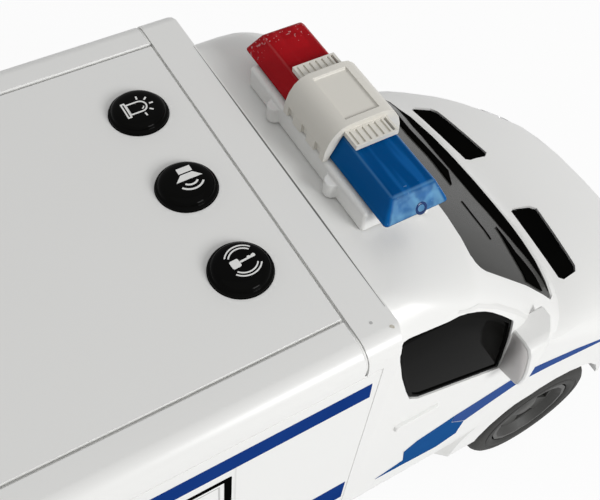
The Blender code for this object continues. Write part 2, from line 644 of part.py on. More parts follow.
# Door mirrors stand on the door skin ahead of the windows
MIRROR_X = COWL_X - 0.0337
MIRROR_Z = COWL_Z + 0.0020
MIRROR_HEIGHT = 0.0168
MIRROR_DEPTH = 0.0105
MIRROR_REACH = 0.0067
MIRROR_EDGE = 0.0014           # housing's depth at its outer edge
MIRROR_ROOT = 0.0030           # how far the rough shape runs into the door before it is trimmed
for side, word in ((LEFT, "left"), (RIGHT, "right")):
    outline = [(-MIRROR_ROOT, 0.0), (0.0, 0.0), (MIRROR_REACH * 0.80, MIRROR_HEIGHT * 0.09),
               (MIRROR_REACH * 0.94, MIRROR_HEIGHT * 0.16), (MIRROR_REACH, MIRROR_HEIGHT * 0.36),
               (MIRROR_REACH * 0.97, MIRROR_HEIGHT * 0.55), (MIRROR_REACH * 0.80, MIRROR_HEIGHT * 0.88),
               (MIRROR_REACH * 0.64, MIRROR_HEIGHT * 0.97), (MIRROR_REACH * 0.36, MIRROR_HEIGHT),
               (-MIRROR_ROOT, MIRROR_HEIGHT)]
    door_y = half_width(MIRROR_Z) + FIT
    outline = [(side * (door_y + a), MIRROR_Z + b) for a, b in outline]
    mirror = add("mirror_" + word, plate([outline], MIRROR_X, MIRROR_X + MIRROR_DEPTH, ALONG_X), WHITE)
    plan = [(-OVER, -2 * MIRROR_ROOT), (-OVER, 2 * MIRROR_REACH), (MIRROR_EDGE, 2 * MIRROR_REACH),
            (MIRROR_EDGE, MIRROR_REACH * 1.02), (MIRROR_DEPTH * 0.42, MIRROR_REACH * 0.80),
            (MIRROR_DEPTH * 0.72, MIRROR_REACH * 0.45), (MIRROR_DEPTH * 0.98, -0.0004),
            (MIRROR_DEPTH * 0.98, -2 * MIRROR_ROOT)]
    plan = [(MIRROR_X + ahead, side * (door_y + a)) for ahead, a in plan]
    combine(mirror, plate([plan], MIRROR_Z - OVER, MIRROR_Z + MIRROR_HEIGHT + OVER), "INTERSECT")
    soften(mirror, 0.0006, 1)
    cut(mirror, cab_skin(-FIT, CAB_REAR_X))

# Box shell: open-topped, with floor ledge, ceiling ledge and rear door opening, lapped over the hoop
box = add("box_shell", block((BOX_REAR_X, -BOX_HALF_WIDTH, SILL_Z),
                             (BOX_FRONT_X, BOX_HALF_WIDTH, WALL_TOP_Z)), WHITE)
front_x = BOX_FRONT_X + OVER
cut(box, block((BAY_REAR_X, -LEDGE_HALF_WIDTH, SILL_Z - OVER), (front_x, LEDGE_HALF_WIDTH, ROOF_Z)))
cut(box, block((BAY_REAR_X, -BAY_HALF_WIDTH, FLOOR_SEAT_Z), (front_x, BAY_HALF_WIDTH, CEILING_Z)))
for low, high in ((BAY_HALF_WIDTH, BOX_HALF_WIDTH), (-BOX_HALF_WIDTH, -BAY_HALF_WIDTH)):
    join(box, block((BOX_FRONT_X - WALL, low, SILL_Z), (WALL_FRONT_X, high, WALL_TOP_Z)))
DOOR_LOW_Z = FLOOR_Z + FLOOR_THICKNESS + FIT
cut(box, block((BOX_REAR_X - OVER, -DOOR_HALF_OPENING, DOOR_LOW_Z),
               (BAY_REAR_X + WALL / 2, DOOR_HALF_OPENING, DOOR_TOP_Z)))
cut(box, rod((REAR_AXLE_X, -WIDE, AXLE_Z), (REAR_AXLE_X, WIDE, AXLE_Z), ARCH_RADIUS, 26))

# Roof rim: rounded moulding that caps the walls and frames the roof panel
rim_outline = rounded(BOX_HALF_WIDTH, RIM_LOW_Z, ROOF_Z, CORNER_RADIUS, 5, False)
roof_rim = add("roof_rim", plate([rim_outline], BOX_REAR_X, BOX_FRONT_X, ALONG_X), WHITE)
cut(roof_rim, block((BAY_REAR_X, -LEDGE_HALF_WIDTH, RIM_LOW_Z - OVER),
                    (front_x, LEDGE_HALF_WIDTH, RIM_UNDER_Z)))
cut(roof_rim, block((PANEL_REAR_X, -PANEL_HALF_WIDTH, RIM_LOW_Z - OVER),
                    (front_x, PANEL_HALF_WIDTH, ROOF_Z + OVER)))

# Rear doors: hinge edge rounded about the pins, which seat in the door frame
hinge_x = BOX_REAR_X + FIT + DOOR_THICKNESS / 2
hinge_y = DOOR_HALF_OPENING - DOOR_GAP - DOOR_THICKNESS / 2
door_low = DOOR_LOW_Z + DOOR_GAP
door_high = DOOR_TOP_Z - DOOR_GAP
sockets = []
for side, word in ((LEFT, "left"), (RIGHT, "right")):
    outline = [(hinge_x - DOOR_THICKNESS / 2, side * DOOR_GAP / 2),
               (hinge_x + DOOR_THICKNESS / 2, side * DOOR_GAP / 2)]
    for i in range(9):
        angle = math.pi * i / 8
        outline.append((hinge_x + math.cos(angle) * DOOR_THICKNESS / 2,
                        side * (hinge_y + math.sin(angle) * DOOR_THICKNESS / 2)))
    door = add("rear_door_" + word, plate([outline], door_low, door_high), WHITE,
               (hinge_x, side * hinge_y, (door_low + door_high) / 2))
    pins = [rod((hinge_x, side * hinge_y, door_high - 0.001),
                (hinge_x, side * hinge_y, door_high + HINGE_PIN_LENGTH), HINGE_PIN_RADIUS, 10),
            rod((hinge_x, side * hinge_y, door_low - HINGE_PIN_LENGTH),
                (hinge_x, side * hinge_y, door_low + 0.001), HINGE_PIN_RADIUS, 10)]
    grip_ends = sorted((side * GRIP_FROM_GAP, side * (GRIP_FROM_GAP + GRIP_LENGTH)))
    grip = block((BOX_REAR_X + FIT - GRIP_PROUD, grip_ends[0], GRIP_Z),
                 (hinge_x, grip_ends[1], GRIP_Z + GRIP_HEIGHT))
    join(door, *pins, grip)
    window_ends = sorted((side * DOOR_WINDOW_EDGE, side * (hinge_y - DOOR_WINDOW_EDGE)))
    window_low = GRIP_Z + 2 * GRIP_HEIGHT
    cut(door, block((BOX_REAR_X - OVER, window_ends[0], window_low),
                    (BOX_REAR_X + FIT + DOOR_WINDOW_DEPTH, window_ends[1], door_high - DOOR_WINDOW_EDGE)))
    reach = HINGE_PIN_LENGTH + FIT
    sockets.append(rod((hinge_x, side * hinge_y, DOOR_TOP_Z - 0.001),
                       (hinge_x, side * hinge_y, DOOR_TOP_Z + reach), HINGE_PIN_RADIUS + FIT, 12))
    sockets.append(rod((hinge_x, side * hinge_y, DOOR_LOW_Z - reach),
                       (hinge_x, side * hinge_y, DOOR_LOW_Z + 0.001), HINGE_PIN_RADIUS + FIT, 12))
cut(box, many(sockets))

# Cargo bay liner: floor on the lower ledge, front wall ahead of the bay
floor_half = BAY_HALF_WIDTH - FIT
liner_front = BOX_FRONT_X - 0.004
liner_rear = BAY_REAR_X + FIT
ceiling_low = CEILING_Z - FIT - CEILING_THICKNESS
bay_liner = add("bay_liner", block((liner_rear, -floor_half, FLOOR_Z),
                                   (liner_front, floor_half, FLOOR_Z + FLOOR_THICKNESS)), WHITE)
join(bay_liner, block((liner_front - BULKHEAD_THICKNESS, -floor_half, FLOOR_Z + FLOOR_THICKNESS / 2),
                      (liner_front, floor_half, CEILING_Z - FIT)))
add("bay_ceiling", block((liner_rear, -floor_half, ceiling_low),
                         (liner_front - BULKHEAD_THICKNESS - FIT, floor_half, CEILING_Z - FIT)), WHITE)

# Roof panel, let in flush and held by a flange under the rim
panel_half = PANEL_HALF_WIDTH - PANEL_GROOVE
panel_rear = PANEL_REAR_X + PANEL_GROOVE
panel = add("roof_panel", block((panel_rear, -panel_half, ROOF_Z - PANEL_THICKNESS),
                                (BOX_FRONT_X, panel_half, ROOF_Z)), WHITE)
flange_half = PANEL_HALF_WIDTH + PANEL_FLANGE
join(panel, block((PANEL_REAR_X - PANEL_FLANGE, -flange_half, FLANGE_UNDER_Z),
                  (BOX_FRONT_X - 0.001, flange_half, RIM_UNDER_Z - FIT)))
button_places = [(BUTTON_X, BUTTON_PITCH * i) for i in (1, 0, -1)]
board_top = FLANGE_UNDER_Z - FIT - BUTTON_FLANGE - BUTTON_TRAVEL - SWITCH_HEIGHT - 0.0012
post_half_x, post_y = 0.0055, BUTTON_PITCH * 1.5
for x in (BUTTON_X - post_half_x, BUTTON_X + post_half_x):
    for y in (-post_y, post_y):
        join(panel, rod((x, y, board_top + FIT), (x, y, FLANGE_UNDER_Z + 0.001), POST_RADIUS, 8))
cut(panel, many([rod((x, y, FLANGE_UNDER_Z - 0.002), (x, y, ROOF_Z + 0.002), BUTTON_RADIUS + FIT, 16)
                 for x, y in button_places]))

# Push buttons: stepped caps on a skirt, with a retaining flange under the panel
for name, (x, y) in zip(("button_light", "button_sound", "button_key"), button_places):
    flange_top = FLANGE_UNDER_Z - FIT
    under = ROOF_Z - flange_top
    foot = under + BUTTON_FLANGE + 0.001
    crown = BUTTON_RADIUS * 0.90
    profile = [(0.0, BUTTON_HEIGHT), (crown - 0.0010, BUTTON_HEIGHT - 0.0001),
               (crown, BUTTON_HEIGHT - 0.0006),
               (crown, BUTTON_HEIGHT - 0.0011), (BUTTON_RADIUS, BUTTON_HEIGHT - 0.0013),
               (BUTTON_RADIUS, -under),
               (BUTTON_RADIUS + 0.0013, -under), (BUTTON_RADIUS + 0.0013, -under - BUTTON_FLANGE),
               (0.0022, -under - BUTTON_FLANGE), (0.0020, -foot), (0.0, -foot)]
    turned(name, profile, BLACK_GLOSS, (x, y, ROOF_Z), 0, 16)

# Button board with its three switches
SWITCH_SIDE = 0.003
board_half_x, board_half_y = post_half_x + SWITCH_SIDE, post_y + SWITCH_SIDE
button_board = add("button_board", block((BUTTON_X - board_half_x, -board_half_y,
                                          board_top - BOARD_THICKNESS),
                                         (BUTTON_X + board_half_x, board_half_y, board_top)), BOARD)
join(button_board, many([block((x - SWITCH_SIDE, y - SWITCH_SIDE, board_top - 0.0005),
                               (x + SWITCH_SIDE, y + SWITCH_SIDE, board_top + SWITCH_HEIGHT))
                         for x, y in button_places]))

# Light bar: base scribed to the cab roof, tapered lenses, board with two LEDs and a ribbed centre cover
bar_rear = SEAM_X + BAR_BACK_X
bar_front = bar_rear + BAR_DEPTH
bar_base = add("light_bar_base", block((bar_rear, -BAR_HALF_LENGTH, SCREEN_TOP_Z),
                                       (bar_front, BAR_HALF_LENGTH, BAR_BASE_TOP_Z)), WHITE)
soften(bar_base, 0.0008, 2)
cut(bar_base, cab_skin(-FIT, CAB_REAR_X))
for side in (LEFT, RIGHT):
    boss_y = side * BAR_HALF_LENGTH / 2
    join(bar_base, rod((bar_rear, boss_y, CAB_ROOF_Z + FIT), (bar_rear, boss_y, BAR_BASE_TOP_Z - 0.0012),
                       0.0019, 10))
pocket = BAR_BASE_TOP_Z - 0.0036
pocket_rear, pocket_front = bar_rear + 0.0026, bar_front - 0.0026
cut(bar_base, block((pocket_rear, -BAR_HALF_LENGTH + 0.002, pocket),
                    (pocket_front, BAR_HALF_LENGTH - 0.002, BAR_BASE_TOP_Z + 0.01)))
bar_board_top = pocket + FIT + BOARD_THICKNESS
add("light_bar_board", block((pocket_rear + FIT, -BAR_HALF_LENGTH + 0.002 + FIT, pocket + FIT),
                             (pocket_front - FIT, BAR_HALF_LENGTH - 0.002 - FIT, bar_board_top)), BOARD)
bar_mid = (bar_rear + bar_front) / 2
LED_RADIUS = 0.0022
for side, word, material in ((LEFT, "red", RED), (RIGHT, "blue", BLUE)):
    led_y = side * BAR_HALF_LENGTH * 0.62
    led = [(0.0, 0.0048), (LED_RADIUS * 0.6, 0.0044), (LED_RADIUS, 0.0028), (LED_RADIUS, 0.0), (0.0, 0.0)]
    turned("led_" + word, led, material, (bar_mid, led_y, bar_board_top + FIT), 0, 10)
lens_low = BAR_BASE_TOP_Z + FIT
lens_rear, lens_front = bar_rear + 0.0012, bar_front - 0.0008


def lens_form(side, inset, top):
    """Tapered lens half: narrower at the top on three sides, square at the middle of the bar."""
    work = bmesh.new()
    bmesh.ops.create_cube(work, size=1.0)
    for vert in work.verts:
        high = vert.co.z > 0
        taper = LENS_SLOPE if high else 0.0
        outer = LENS_HALF_LENGTH - taper - inset
        rear, front = lens_rear + taper + inset, lens_front - taper - inset
        x = front if vert.co.x > 0 else rear
        y = outer if vert.co.y > 0 else FIT / 2 + inset
        vert.co = (x, side * y, top if high else lens_low - (0.001 if inset else 0.0))
    mesh = bpy.data.meshes.new("lens")
    work.to_mesh(mesh)
    work.free()
    return cleaned(mesh)


for side, word, material in ((LEFT, "red", RED), (RIGHT, "blue", BLUE)):
    lens = add("lens_" + word, lens_form(side, 0.0, lens_low + LENS_HEIGHT), material)
    soften(lens, 0.0009, 2)
    cut(lens, lens_form(side, LENS_WALL, lens_low + LENS_HEIGHT - LENS_WALL))

lens_top = lens_low + LENS_HEIGHT
cover_top = lens_top + COVER_RISE
arch_in = [(lens_rear - FIT, lens_low), (lens_rear + LENS_SLOPE - FIT, lens_top + FIT),
           (lens_front - LENS_SLOPE + FIT, lens_top + FIT), (lens_front + FIT, lens_low)]
COVER_WALL = 0.0015
COVER_SHOULDER = 0.0054        # rounded rear and front of the arch
crown_rear, crown_front = lens_rear - COVER_WALL + COVER_SHOULDER, lens_front + COVER_WALL - COVER_SHOULDER
arch_out = []
for i in range(6):
    angle = math.pi / 2 * i / 5
    arch_out.append((crown_front + COVER_SHOULDER * math.cos(angle),
                     lens_low + (cover_top - lens_low) * math.sin(angle)))
arch_out += [(crown_rear + crown_front - a, b) for a, b in reversed(arch_out)]
cover = add("light_bar_cover", plate([arch_in + arch_out], -COVER_HALF_LENGTH, COVER_HALF_LENGTH, ALONG_Y),
            WHITE)
COVER_RIM = 0.0018
COVER_RECESS = 0.0009
cut(cover, block((crown_rear, -COVER_HALF_LENGTH + COVER_RIM, cover_top - COVER_RECESS),
                 (crown_front, COVER_HALF_LENGTH - COVER_RIM, cover_top + OVER)))
NOTCHES = 3
NOTCH_WIDTH = 0.0022
NOTCH_HEIGHT = 0.0026
notch_pitch = 2 * COVER_HALF_LENGTH / NOTCHES
cut(cover, many([block((lens_rear - 2 * COVER_WALL, notch_pitch * (i - (NOTCHES - 1) / 2) - NOTCH_WIDTH / 2,
                        lens_low - OVER),
                       (lens_rear - COVER_WALL * 0.45,
                        notch_pitch * (i - (NOTCHES - 1) / 2) + NOTCH_WIDTH / 2,
                        lens_low + NOTCH_HEIGHT)) for i in range(NOTCHES)]))
tongue_reach = COVER_HALF_LENGTH + TONGUE_LENGTH
tongue_rear, tongue_front = lens_rear + LENS_SLOPE, lens_front - LENS_SLOPE
tongue_top = lens_top + FIT + TONGUE_RISE
join(cover, block((tongue_rear, -tongue_reach, lens_top + FIT), (tongue_front, tongue_reach, tongue_top)))
TONGUE_RIBS = 6
SLIT = 0.0006                  # slit between the last rib and the tongue's front edge
rib_pitch = (tongue_front - tongue_rear - 2 * SLIT) / TONGUE_RIBS
rib_low = tongue_top - TONGUE_RISE * 0.55
grooves = []
for side in (LEFT, RIGHT):
    ends = sorted((side * (COVER_HALF_LENGTH + 0.0004), side * (tongue_reach - 0.0004)))
    for i in range(TONGUE_RIBS):
        grooves.append(block((tongue_rear + rib_pitch * (i + 0.32), ends[0], rib_low),
                             (tongue_rear + rib_pitch * (i + 0.68), ends[1], cover_top + OVER)))
    grooves.append(block((tongue_front - 2 * SLIT, ends[0], lens_top - OVER),
                         (tongue_front - SLIT, ends[1], cover_top + OVER)))
cut(cover, many(grooves))

# Rear bumper and tail lamps
rear_bumper = add("rear_bumper", plate([rounded(BOX_HALF_WIDTH - 0.001, TAIL_X, BOX_REAR_X - FIT, 0.0024, 3)],
                                       SILL_Z, BUMPER_TOP_Z, ACROSS), DARK)
soften(rear_bumper, 0.0008, 1)
TAIL_LAMP_PROUD = 0.0018
TAIL_LAMP_HALF = 0.0024
TAIL_LAMP_Z = 0.050
TAIL_LAMP_HEIGHT = 0.022
lamp_y = (DOOR_HALF_OPENING + BOX_HALF_WIDTH) / 2
for side, word in ((LEFT, "left"), (RIGHT, "right")):
    lamp = add("tail_lamp_" + word, block((BOX_REAR_X - FIT - TAIL_LAMP_PROUD, side * lamp_y - TAIL_LAMP_HALF,
                                           TAIL_LAMP_Z),
                                          (BOX_REAR_X - FIT, side * lamp_y + TAIL_LAMP_HALF,
                                           TAIL_LAMP_Z + TAIL_LAMP_HEIGHT)),
               RED)
    soften(lamp, 0.0007, 1)

# Wheels: four tyres on dished rims
tyre_edge = WHEEL_WIDTH / 2
tyre_profile = [(WHEEL_RADIUS, tyre_edge - 0.0026), (WHEEL_RADIUS, -tyre_edge + 0.0026),
                (WHEEL_RADIUS - 0.0018, -tyre_edge + 0.0006), (RIM_RADIUS + FIT + 0.0016, -tyre_edge),
                (RIM_RADIUS + FIT, -tyre_edge + 0.0006), (RIM_RADIUS + FIT, tyre_edge - 0.0006),
                (RIM_RADIUS + FIT + 0.0016, tyre_edge), (WHEEL_RADIUS - 0.0018, tyre_edge - 0.0006)]
HUB_RADIUS = 0.0042
BORE = AXLE_RADIUS + FIT
hub_end = tyre_edge - 0.0020
rim_profile = [(0.0, hub_end), (HUB_RADIUS * 0.8, hub_end - 0.0002),
               (HUB_RADIUS + 0.0016, tyre_edge - 0.0036),
               (RIM_RADIUS - RIM_WALL - 0.0010, tyre_edge - 0.0030),
               (RIM_RADIUS - RIM_WALL + 0.0002, tyre_edge - 0.0006), (RIM_RADIUS, tyre_edge - 0.0006),
               (RIM_RADIUS, -tyre_edge + 0.0010), (RIM_RADIUS - RIM_WALL, -tyre_edge + 0.0010),
               (RIM_RADIUS - RIM_WALL, tyre_edge - 0.0056), (HUB_RADIUS, tyre_edge - 0.0056),
               (HUB_RADIUS, -tyre_edge + 0.0012), (BORE, -tyre_edge + 0.0012), (BORE, hub_end - 0.0012),
               (0.0, hub_end - 0.0012)]
SPOKES = 5
gap_inner, gap_outer = HUB_RADIUS + 0.0020, RIM_RADIUS - RIM_WALL - 0.0014
GAP_SPREAD = math.radians(20)
for end, axle_x in (("front", FRONT_AXLE_X), ("rear", REAR_AXLE_X)):
    for side, word in ((LEFT, "left"), (RIGHT, "right")):
        centre = (axle_x, side * WHEEL_Y, AXLE_Z)
        turned(f"tyre_{end}_{word}", tyre_profile, RUBBER, centre, side, 24, True)
        rim = turned(f"rim_{end}_{word}", rim_profile, DARK, centre, side, 15)
        gaps = []
        for i in range(SPOKES):
            corners = ((gap_inner, -0.6), (gap_outer, -1.0), (gap_outer, 1.0), (gap_inner, 0.6))
            gaps.append([(axle_x + radius * math.cos(2 * math.pi * i / SPOKES + share * GAP_SPREAD),
                          AXLE_Z + radius * math.sin(2 * math.pi * i / SPOKES + share * GAP_SPREAD))
                         for radius, share in corners])
        ends = sorted((-side * (WHEEL_Y + 0.001), -side * (WHEEL_OUTER_Y + 0.002)))
        cut(rim, plate(gaps, ends[0], ends[1], ALONG_Y))

# Gear train: involute teeth, pinion to idler to axle
PRESSURE = math.radians(20)


def tooth_loop(teeth, phase):
    """Involute gear outline with a tooth centred on the phase angle."""
    pitch = MODULE * teeth / 2
    base = pitch * math.cos(PRESSURE)
    tip, root = pitch + MODULE * 0.85, pitch - MODULE * 1.15
    half = math.pi / (2 * teeth) - BACKLASH / (2 * pitch) + math.tan(PRESSURE) - PRESSURE
    flank = []
    for i in range(2):
        radius = max(base, root) + (tip - max(base, root)) * i
        roll = math.acos(min(1.0, base / radius))
        flank.append((radius, half - (math.tan(roll) - roll)))
    if root < base:
        flank.insert(0, (root, flank[0][1]))
    loop = []
    for tooth in range(teeth):
        centre = phase + 2 * math.pi * tooth / teeth
        for radius, angle in flank:
            loop.append((radius * math.cos(centre - angle), radius * math.sin(centre - angle)))
        for radius, angle in reversed(flank):
            loop.append((radius * math.cos(centre + angle), radius * math.sin(centre + angle)))
    return loop


def gear(teeth, phase, centre, low, high, bore=0.0):
    loops = [[(centre[0] + a, centre[1] + b) for a, b in tooth_loop(teeth, phase)]]
    if bore:
        loops.append(ring(centre, bore, 12))
    return plate(loops, -high, -low, ALONG_Y)


mesh_distance = MODULE * (WHEEL_TEETH + PINION_TEETH) / 2
idler_angle, pinion_angle = math.radians(30), math.radians(20)
axle_at = (REAR_AXLE_X, AXLE_Z)
idler_at = (axle_at[0] + mesh_distance * math.cos(idler_angle),
            axle_at[1] + mesh_distance * math.sin(idler_angle))
pinion_at = (idler_at[0] + mesh_distance * math.cos(pinion_angle),
             idler_at[1] + mesh_distance * math.sin(pinion_angle))
near_low, near_high = -GEAR_SPACE / 2 - GEAR_WIDTH, -GEAR_SPACE / 2
far_low, far_high = GEAR_SPACE / 2, GEAR_SPACE / 2 + GEAR_WIDTH
gear_inner_y = GEARBOX_HALF_WIDTH - GEARBOX_WALL
add("axle_gear", gear(WHEEL_TEETH, idler_angle, axle_at, near_low, near_high, AXLE_RADIUS + FIT), NYLON,
    (REAR_AXLE_X, 0, AXLE_Z))
idler_small_phase = idler_angle + math.pi + math.pi / PINION_TEETH
idler = add("idler_gear", gear(PINION_TEETH, idler_small_phase, idler_at, near_low, far_low + 0.0005), NYLON,
            (idler_at[0], 0, idler_at[1]))
join(idler, gear(WHEEL_TEETH, pinion_angle, idler_at, far_low, far_high))
stub_end = GEARBOX_HALF_WIDTH - 0.0004
join(idler, rod((idler_at[0], -stub_end, idler_at[1]), (idler_at[0], stub_end, idler_at[1]), SHAFT_RADIUS,
                10))
pinion = add("motor_pinion", gear(PINION_TEETH, pinion_angle + math.pi + math.pi / PINION_TEETH, pinion_at,
                                  far_low, far_high), NYLON, (pinion_at[0], 0, pinion_at[1]))
join(pinion, rod((pinion_at[0], far_low + 0.0005, pinion_at[1]),
                 (pinion_at[0], GEARBOX_HALF_WIDTH + 0.0045, pinion_at[1]),
                 SHAFT_RADIUS, 12))
add("rear_axle", rod((REAR_AXLE_X, -WHEEL_Y - hub_end + 0.002, AXLE_Z),
                     (REAR_AXLE_X, WHEEL_Y + hub_end - 0.002, AXLE_Z),
                     AXLE_RADIUS, 16), STEEL, (REAR_AXLE_X, 0, AXLE_Z))


def hull(points):
    """Convex outline round a set of points."""
    points = sorted(set(points))
    halves = []
    for order in (points, points[::-1]):
        chain = []
        for point in order:
            while len(chain) > 1 and ((chain[-1][0] - chain[-2][0]) * (point[1] - chain[-2][1])
                                      <= (chain[-1][1] - chain[-2][1]) * (point[0] - chain[-2][0])):
                chain.pop()
            chain.append(point)
        halves.append(chain[:-1])
    return halves[0] + halves[1]


gear_tip = MODULE * (WHEEL_TEETH / 2 + 0.85)
pinion_tip = MODULE * (PINION_TEETH / 2 + 0.85)


def case_outline(room, floor):
    around = []
    for centre, radius in ((axle_at, gear_tip), (idler_at, gear_tip), (pinion_at, pinion_tip)):
        around += [(a, b) for a, b in ring(centre, radius + room, 14) if b > floor]
        around += [(centre[0] - radius - room, floor), (centre[0] + radius + room, floor)]
    return hull(around)


case_floor = PLATE_Z + FIT
gearbox = add("gearbox", plate([case_outline(0.0008 + GEARBOX_WALL, case_floor)], -GEARBOX_HALF_WIDTH,
                               GEARBOX_HALF_WIDTH, ALONG_Y), DARK)
cut(gearbox, plate([case_outline(0.0008, case_floor - 0.002)], -gear_inner_y, gear_inner_y, ALONG_Y))
cut(gearbox, rod((REAR_AXLE_X, -0.02, AXLE_Z), (REAR_AXLE_X, 0.02, AXLE_Z), AXLE_RADIUS + FIT, 12),
    rod((idler_at[0], -0.02, idler_at[1]), (idler_at[0], 0.02, idler_at[1]), SHAFT_RADIUS + FIT, 10),
    rod((pinion_at[0], 0.0, pinion_at[1]), (pinion_at[0], 0.02, pinion_at[1]), SHAFT_RADIUS + FIT, 10))
motor_y = GEARBOX_HALF_WIDTH + FIT
motor_loop = []
for i in range(28):
    angle = 2 * math.pi * i / 28
    motor_loop.append((pinion_at[0] + MOTOR_RADIUS * math.cos(angle),
                       pinion_at[1] + max(-MOTOR_FLAT, min(MOTOR_FLAT, MOTOR_RADIUS * math.sin(angle)))))
motor = add("drive_motor", plate([hull(motor_loop)], -motor_y - MOTOR_LENGTH, -motor_y, ALONG_Y), STEEL)
cut(motor, rod((pinion_at[0], motor_y - 0.001, pinion_at[1]), (pinion_at[0], motor_y + 0.0055, pinion_at[1]),
               SHAFT_RADIUS + FIT, 12))

# Steering: knuckles on kingpins, slotted arms driven by a sliding tie rod and the servo arm
rod_x = FRONT_AXLE_X - STEER_ARM
arm_low = ROD_Z + ROD_THICKNESS + FIT
arm_high = arm_low + LINK_THICKNESS
pin_top = arm_high - 0.0002
slot_half = PIN_RADIUS + FIT
KNUCKLE_HALF = 0.0032
KNUCKLE_LOW_Z = 0.015
for side, word in ((LEFT, "left"), (RIGHT, "right")):
    pin_y = side * KINGPIN_Y
    knuckle = add("knuckle_" + word, block((FRONT_AXLE_X - KNUCKLE_HALF, pin_y - KNUCKLE_HALF, KNUCKLE_LOW_Z),
                                           (FRONT_AXLE_X + KNUCKLE_HALF, pin_y + KNUCKLE_HALF, arm_high)),
                  NYLON, (FRONT_AXLE_X, pin_y, AXLE_Z))
    arm = plate([rounded(0.0028, rod_x - 0.0042, FRONT_AXLE_X, 0.0022, 3)], arm_low, arm_high,
                Matrix.Translation((0, pin_y, 0)) @ ACROSS)
    stub = rod((FRONT_AXLE_X, pin_y, AXLE_Z), (FRONT_AXLE_X, side * (WHEEL_Y + hub_end - 0.002), AXLE_Z),
               AXLE_RADIUS, 12)
    kingpin = rod((FRONT_AXLE_X, pin_y, CHASSIS_Z + 0.0005), (FRONT_AXLE_X, pin_y, COVER_Z + 0.0016),
                  KINGPIN_RADIUS, 10)
    join(knuckle, arm, stub, kingpin)
    cut(knuckle, plate([rounded(slot_half, rod_x - 0.0020, rod_x + 0.0020, slot_half * 0.98, 3)],
                       arm_low - 0.001,
                       arm_high + 0.001, Matrix.Translation((0, pin_y, 0)) @ ACROSS))
ROD_END = 0.002
YOKE_HALF_LENGTH = 0.0048
YOKE_HALF_WIDTH = 0.0045
rod_half = KINGPIN_Y + ROD_END
tie_rod = add("tie_rod", block((rod_x - ROD_WIDTH / 2, -rod_half, ROD_Z),
                               (rod_x + ROD_WIDTH / 2, rod_half, ROD_Z + ROD_THICKNESS)),
              NYLON, (rod_x, 0, ROD_Z))
join(tie_rod, block((rod_x - YOKE_HALF_LENGTH, -YOKE_HALF_WIDTH, ROD_Z),
                    (rod_x + YOKE_HALF_LENGTH, YOKE_HALF_WIDTH, ROD_Z + ROD_THICKNESS)))
for side in (LEFT, RIGHT):
    join(tie_rod, rod((rod_x, side * KINGPIN_Y, ROD_Z + 0.001), (rod_x, side * KINGPIN_Y, pin_top),
                      PIN_RADIUS, 10))
cut(tie_rod, plate([rounded(slot_half, rod_x - 0.0024, rod_x + 0.0024, slot_half * 0.98, 3)], ROD_Z - 0.001,
                   ROD_Z + ROD_THICKNESS + 0.001, ACROSS))
LEVER_HALF_WIDTH = 0.0024
SPLINE_LENGTH = 0.003
SERVO_REAR = 0.0065
SERVO_FRONT = 0.0042
SERVO_HALF_WIDTH = 0.010
STEER_POST_INSET = 0.011
BRIDGE_END = 0.004
BRIDGE_HALF_LENGTH = 0.005
BRIDGE_THICKNESS = 0.002
servo_x = rod_x - SERVO_ARM
lever_high = ROD_Z - FIT
lever_low = lever_high - LINK_THICKNESS
lever_loop = rounded(LEVER_HALF_WIDTH, servo_x - LEVER_HALF_WIDTH, rod_x + LEVER_HALF_WIDTH - FIT, 0.0018, 3)
servo_arm = add("servo_arm", plate([lever_loop], lever_low, lever_high, ACROSS), NYLON,
                (servo_x, 0, lever_low))
join(servo_arm, rod((rod_x, 0, lever_low + 0.0005), (rod_x, 0, ROD_Z + ROD_THICKNESS - FIT), PIN_RADIUS, 10),
     rod((servo_x, 0, lever_low - SPLINE_LENGTH), (servo_x, 0, lever_low + 0.0005), SHAFT_RADIUS, 12))
servo_top = lever_low - FIT
servo = add("steering_servo", block((servo_x - SERVO_REAR, -SERVO_HALF_WIDTH, PLATE_Z + FIT),
                                    (servo_x + SERVO_FRONT, SERVO_HALF_WIDTH, servo_top)), DARK)
cut(servo, rod((servo_x, 0, servo_top - SPLINE_LENGTH * 1.5), (servo_x, 0, servo_top + 0.001),
               SHAFT_RADIUS + FIT, 12))
steer_post_y = KINGPIN_Y - STEER_POST_INSET
bridge_loop = rounded(KINGPIN_Y + BRIDGE_END, FRONT_AXLE_X - BRIDGE_HALF_LENGTH,
                      FRONT_AXLE_X + BRIDGE_HALF_LENGTH,
                      0.003, 2)
bridge = add("steering_cover", plate([bridge_loop], COVER_Z, COVER_Z + BRIDGE_THICKNESS, ACROSS), DARK)
cut(bridge, many([rod((FRONT_AXLE_X, side * KINGPIN_Y, COVER_Z - 0.001),
                      (FRONT_AXLE_X, side * KINGPIN_Y, COVER_Z + BRIDGE_THICKNESS + 0.001),
                      KINGPIN_RADIUS + FIT, 12) for side in (LEFT, RIGHT)]))

# Chassis tray with wheel wells, bearings, posts and openings
def tray_outline(inset):
    rear = BOX_REAR_X + 0.001 + inset
    front = NOSE_X - 0.016 - inset
    half = CHASSIS_HALF_WIDTH - inset
    cab_half = CAB_TRAY_HALF_WIDTH - inset
    step_x = BOX_FRONT_X - inset
    half_points = [(rear, half), (REAR_AXLE_X - REAR_WELL - inset, half),
                   (REAR_AXLE_X - REAR_WELL - inset, REAR_WAIST - inset),
                   (REAR_AXLE_X + REAR_WELL + inset, REAR_WAIST - inset),
                   (REAR_AXLE_X + REAR_WELL + inset, half),
                   (step_x, half), (step_x, cab_half), (FRONT_AXLE_X - FRONT_WELL - inset, cab_half),
                   (FRONT_AXLE_X - FRONT_WELL - inset, FRONT_WAIST - inset), (front, FRONT_WAIST - inset)]
    return half_points + [(x, -y) for x, y in reversed(half_points)]


